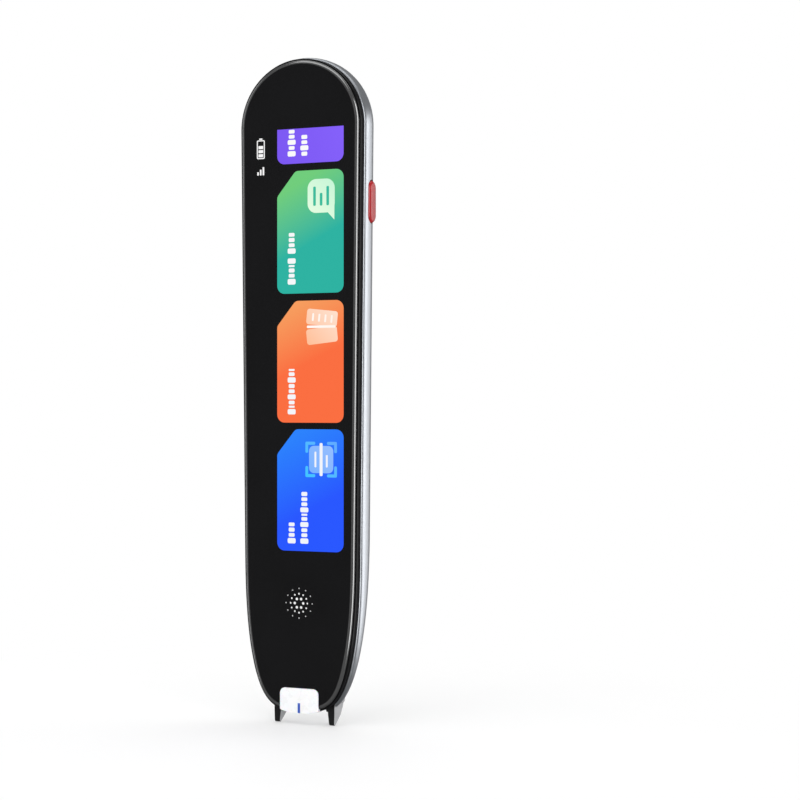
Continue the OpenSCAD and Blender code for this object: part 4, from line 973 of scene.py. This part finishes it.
def camera():
    lean = np.radians(np.linspace(34, -16, 15))
    arc_r = (RING_R - LENS_R) / (math.sin(lean[0]) - math.sin(lean[-1]))
    profile = [(RING_R, LEDGE_D)]
    profile += [(RING_R - arc_r * (math.sin(lean[0]) - math.sin(a)),
                 RING_HIGH[1] - arc_r * (1 - math.cos(a))) for a in lean]
    profile += [(LENS_R, LEDGE_D)]
    ring = mesh_object("lens_ring", turned(profile, CAMERA_H, 96))
    dress(ring, "ring_blue", "camera_ring", sharp=24)

    low, high = casing_box("camera_lens")
    dome_r, top = 2.2, high[1] - 0.12
    steps = [LENS_R * 0.99 * k / 12 for k in range(12, 0, -1)]
    profile = [(LENS_R * 0.99, low[1])]
    profile += [(r, top - dome_r + math.sqrt(dome_r ** 2 - r ** 2)) for r in steps]
    lens = mesh_object("lens", turned(profile, CAMERA_H, 64, closed=False))
    dress(lens, "lens_glass", "camera_lens", sharp=60)


def contact_heights():
    count, pitch = 6, 1.5
    return [CONTACT_H + pitch * (k - (count - 1) / 2) for k in range(count)]


def contacts():
    well_r, well_depth, pin_r, sink = 0.62, 0.9, 0.3, 0.25
    face = ISLAND_D + 0.04
    profile = [(0, PLATE_LOW[1])] + rounded_edge(0, face, 0.14, -1) + [(0.3, face)]
    rings = stadium_rings(CONTACT_W, CONTACT_LEN, CONTACT_H, profile)
    plate = mesh_object("contact_face", loft(rings))
    wells = [prism(circle_loop(well_r, 0, h, 32), ISLAND_D - well_depth, ISLAND_D + 1)
             for h in contact_heights()]
    carve(plate, *wells)
    dress(plate, "contact_plastic", "contact_plate")
    # black rings in the wells round the pins: painted shade in the wells
    shade_ring = [(r, ISLAND_D - depth) for r, depth in
             ((well_r - 0.01, well_depth), (well_r - 0.01, 0.06), (well_r - 0.06, 0.03),
              (pin_r + 0.08, 0.42), (pin_r + 0.08, well_depth))]
    pin = [(pin_r, PLATE_LOW[1])]
    pin += [(pin_r * math.cos(t), ISLAND_D - sink - 0.12 * (1 - math.sin(t)))
            for t in np.linspace(0, 1.4, 6)]
    shade_rings = [turned(shade_ring, h, 32) for h in contact_heights()]
    pins = [turned(pin, h, 24, closed=False) for h in contact_heights()]
    dress(mesh_object("well_painted_shade_rings", joined(*shade_rings)), "chip_black", look="well_painted_shade")
    # the pins are drawn dark instead of gold: painted shade in the wells
    tips = mesh_object("contact_tips", joined(*pins))
    dress(tips, "gold_contact", "contact_pins", look="tip_painted_shade")


# ---- side button ----

def button():
    """Red pill whose flanks are rounded and whose face is slightly crowned."""
    back = BUTTON_LOW[0] + STEM_LEN
    crown, flank_steps, crown_steps = 0.06, 10, 6
    profile = [(-FLANGE_W, back), (-FLANGE_W, back + FLANGE_T), (0, back + FLANGE_T)]
    profile += rounded_edge(0, BUTTON_FACE - crown, BUTTON_ROUND, -1, flank_steps)
    land = BUTTON_W / 2 - BUTTON_ROUND - 0.02
    for k in range(1, crown_steps + 1):
        share = k / crown_steps
        profile.append((BUTTON_ROUND + land * share, BUTTON_FACE - crown * (1 - share) ** 2))
    rings = []
    for inset, x in profile:
        loop = stadium_loop(BUTTON_W - 2 * inset, BUTTON_LEN - 2 * inset, BUTTON_H, 20)
        rings.append(along_x(loop + [BUTTON_D, 0], x))
    stem = circle_loop(0.6, BUTTON_D, BUTTON_H, 24)
    stem_shell = loft([along_x(stem, BUTTON_LOW[0]), along_x(stem, back + 0.1)])
    obj = mesh_object("button", joined(loft(rings), stem_shell))
    dress(obj, "button_red", "side_button", body="button", sharp=40)


# ---- nose ----

def frame_of_scanner():
    """Black frame that lies flush in the casing's back, with a recess."""
    reach_x, low, top, cells = FRAME_HALF_W + 0.6, LEG_GAP_TOP - 0.6, FRAME_TOP + 0.6, 44
    xs = np.linspace(-reach_x, reach_x, cells + 1)
    hs = np.linspace(low, top, cells + 1)
    x, h = (g.ravel() for g in np.meshgrid(xs, hs))
    upper = np.column_stack([x, surface_depth(x, h), h])
    lower = np.column_stack([x, np.full(len(x), FRAME_FLOOR), h])
    index = np.arange(len(x)).reshape(cells + 1, cells + 1)
    quads = np.stack([index[:-1, :-1], index[:-1, 1:], index[1:, 1:], index[1:, :-1]], -1)
    quads = quads.reshape(-1, 4)
    a = np.concatenate([index[0, :-1], index[:-1, -1], index[-1, :0:-1], index[:0:-1, 0]])
    b = np.roll(a, -1)
    walls = np.column_stack([a, b, b + len(x), a + len(x)])
    faces = [*np.stack([quads, quads + len(x)], 1).reshape(-1, 4), *walls]
    obj = mesh_object("scanner_frame", (np.concatenate([upper, lower]), faces))
    outline = arch_loop(FRAME_HALF_W, LEG_GAP_TOP, FRAME_TOP, FRAME_CORNER_R)
    carve(obj, prism(outline, 0, FULL_DEPTH + 1), keep_inside=True)
    recess_half_w, recess_top = FRAME_HALF_W - RECESS_WALL, FRAME_TOP - RECESS_WALL
    recess = arch_loop(recess_half_w, RECESS_LOW, recess_top, RECESS_CORNER_R)
    opening = arch_loop(WINDOW_HALF_W, -1, REAR_WINDOW_TOP, REAR_CORNER_R, FIT_GAP)
    carve(obj, prism(recess, RECESS_DEPTH, FULL_DEPTH + 1), prism(opening, 0, FULL_DEPTH + 1.5))
    soften(obj, 0.1)
    dress(obj, "black_plastic", "scan_frame", sharp=40)

    low, high = casing_box("recess_panel")
    profile = [(0, low[1])] + rounded_edge(0, high[1], 0.12, -1)
    rings = [raised(box_loop(low[0] + s, high[0] - s, low[2] + s, high[2] - s, 0.6 - s), d)
             for s, d in profile]
    plate = mesh_object("recess_plate", loft(rings))
    dress(plate, "recess_grey", "recess_panel")


def window_loop(top, r, inset):
    """Outline of the nose window: straight sides, round upper corners and an arc below."""
    half = WINDOW_HALF_W - inset
    arc_r = NOSE_ARC_R - inset
    end = math.degrees(math.asin((half - 0.2) / arc_r))
    arc = corner(0, NOSE_ARC_R, arc_r, -90 - end, -90 + end, 24)
    top -= inset + r
    upright = np.full(8, half)
    sides_h = np.linspace(arc[0, 1] + 0.2, top, 8)
    return np.concatenate([
        arc,
        np.column_stack([upright, sides_h]),
        corner(half - r, top, r, 0, 90),
        corner(r - half, top, r, 90, 180),
        np.column_stack([-upright, sides_h[::-1]]),
    ])


def window_back(x, h):
    """Depth of the nose window's rear face."""
    return rounded_depth(h, np.clip((NOSE_CENTRE - h) / NOSE_CENTRE, 0, 1))


def domed_block(top, r, front, back, edge):
    """Block with rounded edges between two faces, each filled towards its middle."""
    centre = np.array([0, top * 0.5])
    cap_steps = 8
    start = window_loop(top, r, edge)
    caps = [centre + (start - centre) * k / cap_steps for k in range(1, cap_steps)]
    steps = rounded_edge(0, 0, edge, 1)
    rings = [raised(cap, front) for cap in caps]
    rings += [raised(window_loop(top, r, inset), front) + [0, d, 0] for inset, d in steps[::-1]]
    rings += [raised(window_loop(top, r, inset), back) - [0, d, 0] for inset, d in steps]
    return loft(rings + [raised(cap, back) for cap in caps[::-1]])


def nose():
    front = domed_block(WINDOW_TOP, WINDOW_CORNER_R, 0, WINDOW_WALL, 0.12)
    rear = domed_block(REAR_WINDOW_TOP, REAR_CORNER_R, WINDOW_WALL - 0.02, window_back, 0.22)
    obj = mesh_object("nose_glass", rear)
    carve(obj, block(SCAN_W / 2, SCAN_FRONT, SCAN_REAR, -1, WINDOW_WALL + 0.02))
    # the rear part of the white nose window is drawn grey: painted shade
    dress(obj, "window_white", "nose_window", look="window_painted_shade", sharp=50)
    dress(mesh_object("front_window", front), "window_white", sharp=50)

    # the blue line, once on each face
    half_w, low, high, rows, proud, sunk = 0.33, 0.2, 2.6, 14, 0.03, 0.05
    right = np.column_stack([np.full(rows, half_w), np.linspace(low, high, rows)])
    loop = np.concatenate([right, right[::-1] * [-1, 1]])
    count = len(loop)
    faces = ring_faces(count, 2)
    for base in (0, count):
        faces += [[base + k, base + k + 1, base + count - 2 - k, base + count - 1 - k]
                  for k in range(rows - 1)]
    shells = []
    for face, sign in ((0, -1), (window_back, 1)):
        rings = [raised(loop, face) + [0, sign * d, 0] for d in (-sunk, proud)]
        shells.append((np.concatenate(rings), faces))
    dress(mesh_object("line_marks", joined(*shells)), "mark_blue", "nose_marks")


def knuckle_grooves():
    """Prisms across the knuckles that leave ribs round them."""
    floor_r, top_r, half_w, top_half_w = KNUCKLE_R - 0.16, KNUCKLE_R + 0.3, 0.09, 0.15
    grooves = []
    for a in np.radians((82, 52, 22, -8)):
        out, along = np.array([math.cos(a), math.sin(a)]), np.array([-math.sin(a), math.cos(a)])
        loop = np.array([(HINGE_D, HINGE_H) + out * r + along * w for r, w in (
            (floor_r, -half_w), (floor_r, half_w), (top_r, top_half_w), (top_r, -top_half_w))])
        for side in (-1, 1):
            ends = side * (KNUCKLE_IN - 0.1), side * (KNUCKLE_OUT + 0.1)
            grooves.append(loft([along_x(loop, x) for x in ends]))
    return grooves


def foot():
    legs = softened_copy("scan_foot", "foot_legs", 0.16)
    carve(legs, *knuckle_grooves())
    dress(legs, "foot_black", "scan_foot", body="foot", sharp=40)
    # the legs' side faces are drawn light grey: painted reflection on black plastic
    add_second(legs, "foot_side_painted_reflection",
               lambda x, d, h, normal: abs(normal.x) > 0.9 and abs(x) > KNUCKLE_IN)
    arms = softened_copy("hinge_arms", "arm_pair", 0.1)
    dress(arms, "black_plastic", "hinge_arms", sharp=40)


# ---- stage, light and camera ----

VIEW_AZIMUTH = 28.0          # degrees from straight ahead towards the button side
VIEW_DISTANCE = 0.4985
VIEW_HEIGHT = 76.3           # height of the eye above the nose, in millimetres
FOCAL_PX = 2026.0            # focal length in the photograph's pixels
PHOTO_PX = 800.0
PEN_X_PX = 310.7             # where the pen's middle stands in the photograph
SENSOR = 36.0
LAMP_DISTANCE = 1.6


def polar(azimuth, elevation, distance):
    a, e = math.radians(azimuth), math.radians(elevation)
    return distance * Vector((math.sin(a) * math.cos(e), -math.cos(a) * math.cos(e), math.sin(e)))


def add_camera():
    camera = bpy.data.cameras.new("camera")
    camera.lens = FOCAL_PX / PHOTO_PX * SENSOR
    camera.sensor_width = SENSOR
    camera.clip_start = 0.01
    obj = placed("camera", camera)
    aim = Vector((0, 0, (VIEW_HEIGHT - CASE_LEN / 2) * MM))
    obj.location = aim + polar(VIEW_AZIMUTH, 0, VIEW_DISTANCE)
    to_side = math.atan((PHOTO_PX / 2 - PEN_X_PX) / FOCAL_PX)
    obj.rotation_euler = (math.pi / 2, 0, math.radians(VIEW_AZIMUTH) - to_side)
    SCENE.camera = obj


def softbox(name, azimuth, elevation, width, height, radiance):
    """Area lamp that faces the pen, with the given radiance."""
    lamp = bpy.data.lights.new(name, "AREA")
    lamp.shape = "RECTANGLE"
    lamp.size = width
    lamp.size_y = height
    lamp.energy = radiance * math.pi * width * height
    obj = placed(name, lamp)
    obj.location = polar(azimuth, elevation, LAMP_DISTANCE)
    obj.rotation_euler = (-obj.location).to_track_quat("-Z", "Y").to_euler()


def seen_white(tree):
    """1 on camera and transmission rays, which see the white background."""
    path = tree.node("LightPath").outputs
    return tree.maths("Math", "MAXIMUM", path["Is Camera Ray"], path["Is Transmission Ray"])


def add_world():
    """Soft light all round, dimmer to reflections and darkest to those from below, before white."""
    world = bpy.data.worlds.new("studio")
    SCENE.world = world
    world.use_nodes = True
    tree = Nodes(world.node_tree)
    split = tree.node("SeparateXYZ", Vector=tree.node("TexCoord").outputs["Generated"])
    mirrored = tree.node("MapRange", Value=split.outputs["Z"], From_Min=-0.9, From_Max=-0.5,
                         To_Min=0.14, To_Max=0.245)
    soft = tree.node("MapRange", Value=tree.node("LightPath").outputs["Is Glossy Ray"],
                     To_Min=0.66, To_Max=mirrored.outputs["Result"])
    light = tree.tree.nodes["Background"]
    tree.feed_all(light, {"Color": (1, 1, 1, 1), "Strength": soft.outputs["Result"]})
    white = tree.node("Background", Color=(1, 1, 1, 1))
    tree.show_mix(seen_white(tree), light.outputs["Background"], white.outputs["Background"],
                  "World Output")


def add_floor():
    """White floor under the legs. Away from the pen it fades into the white background."""
    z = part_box("scan_foot")[0].z - 0.02 * MM
    half = 6.0
    mesh = bpy.data.meshes.new("floor")
    corners = [(x * half, y * half, z) for x, y in ((-1, -1), (1, -1), (1, 1), (-1, 1))]
    mesh.from_pydata(corners, [], [[0, 1, 2, 3]])
    floor = placed("floor", mesh)
    made = Finish("floor_white", (0.95, 0.95, 0.95), 0.7, Specular_IOR_Level=0.1)
    made.vary_colour(0.01, 0.02)
    fade = made.node("MapRange", Value=made.maths("VectorMath", "LENGTH", made.place),
                     From_Min=0.03, From_Max=0.18)
    fade.interpolation_type = "SMOOTHSTEP"
    away = made.maths("Math", "MULTIPLY", fade.outputs["Result"], seen_white(made))
    white = made.node("Emission", Strength=1.0)
    made.show_mix(away, made.shader.outputs["BSDF"], white.outputs["Emission"], "Material Output")
    mesh.materials.append(made.material)
    floor.visible_glossy = False


def add_lights():
    """Softboxes by name, azimuth, elevation, width, height and radiance."""
    for values in (("side_right", 132, -1, 0.64, 1.05, 2.05),
                   ("back_right", 153, -1, 0.56, 1.05, 0.95),
                   ("side_left", -143, -1, 0.93, 1.05, 2.05),
                   ("front_right", 50, 6, 1.1, 1.6, 2.8),
                   ("wing_left", -68, 6, 0.4, 1.6, 1.0),
                   ("key", -12, 52, 1.3, 1.0, 1.35),
                   ("top", 180, 72, 2.2, 0.9, 0.95)):
        softbox(*values)


dress_nodes()
glass()
grille_dots()
bezel()
screen()
rear_casing()
island()
camera()
contacts()
button()
frame_of_scanner()
nose()
foot()
add_world()
add_floor()
add_lights()
add_camera()

SCENE.view_settings.view_transform = "Standard"
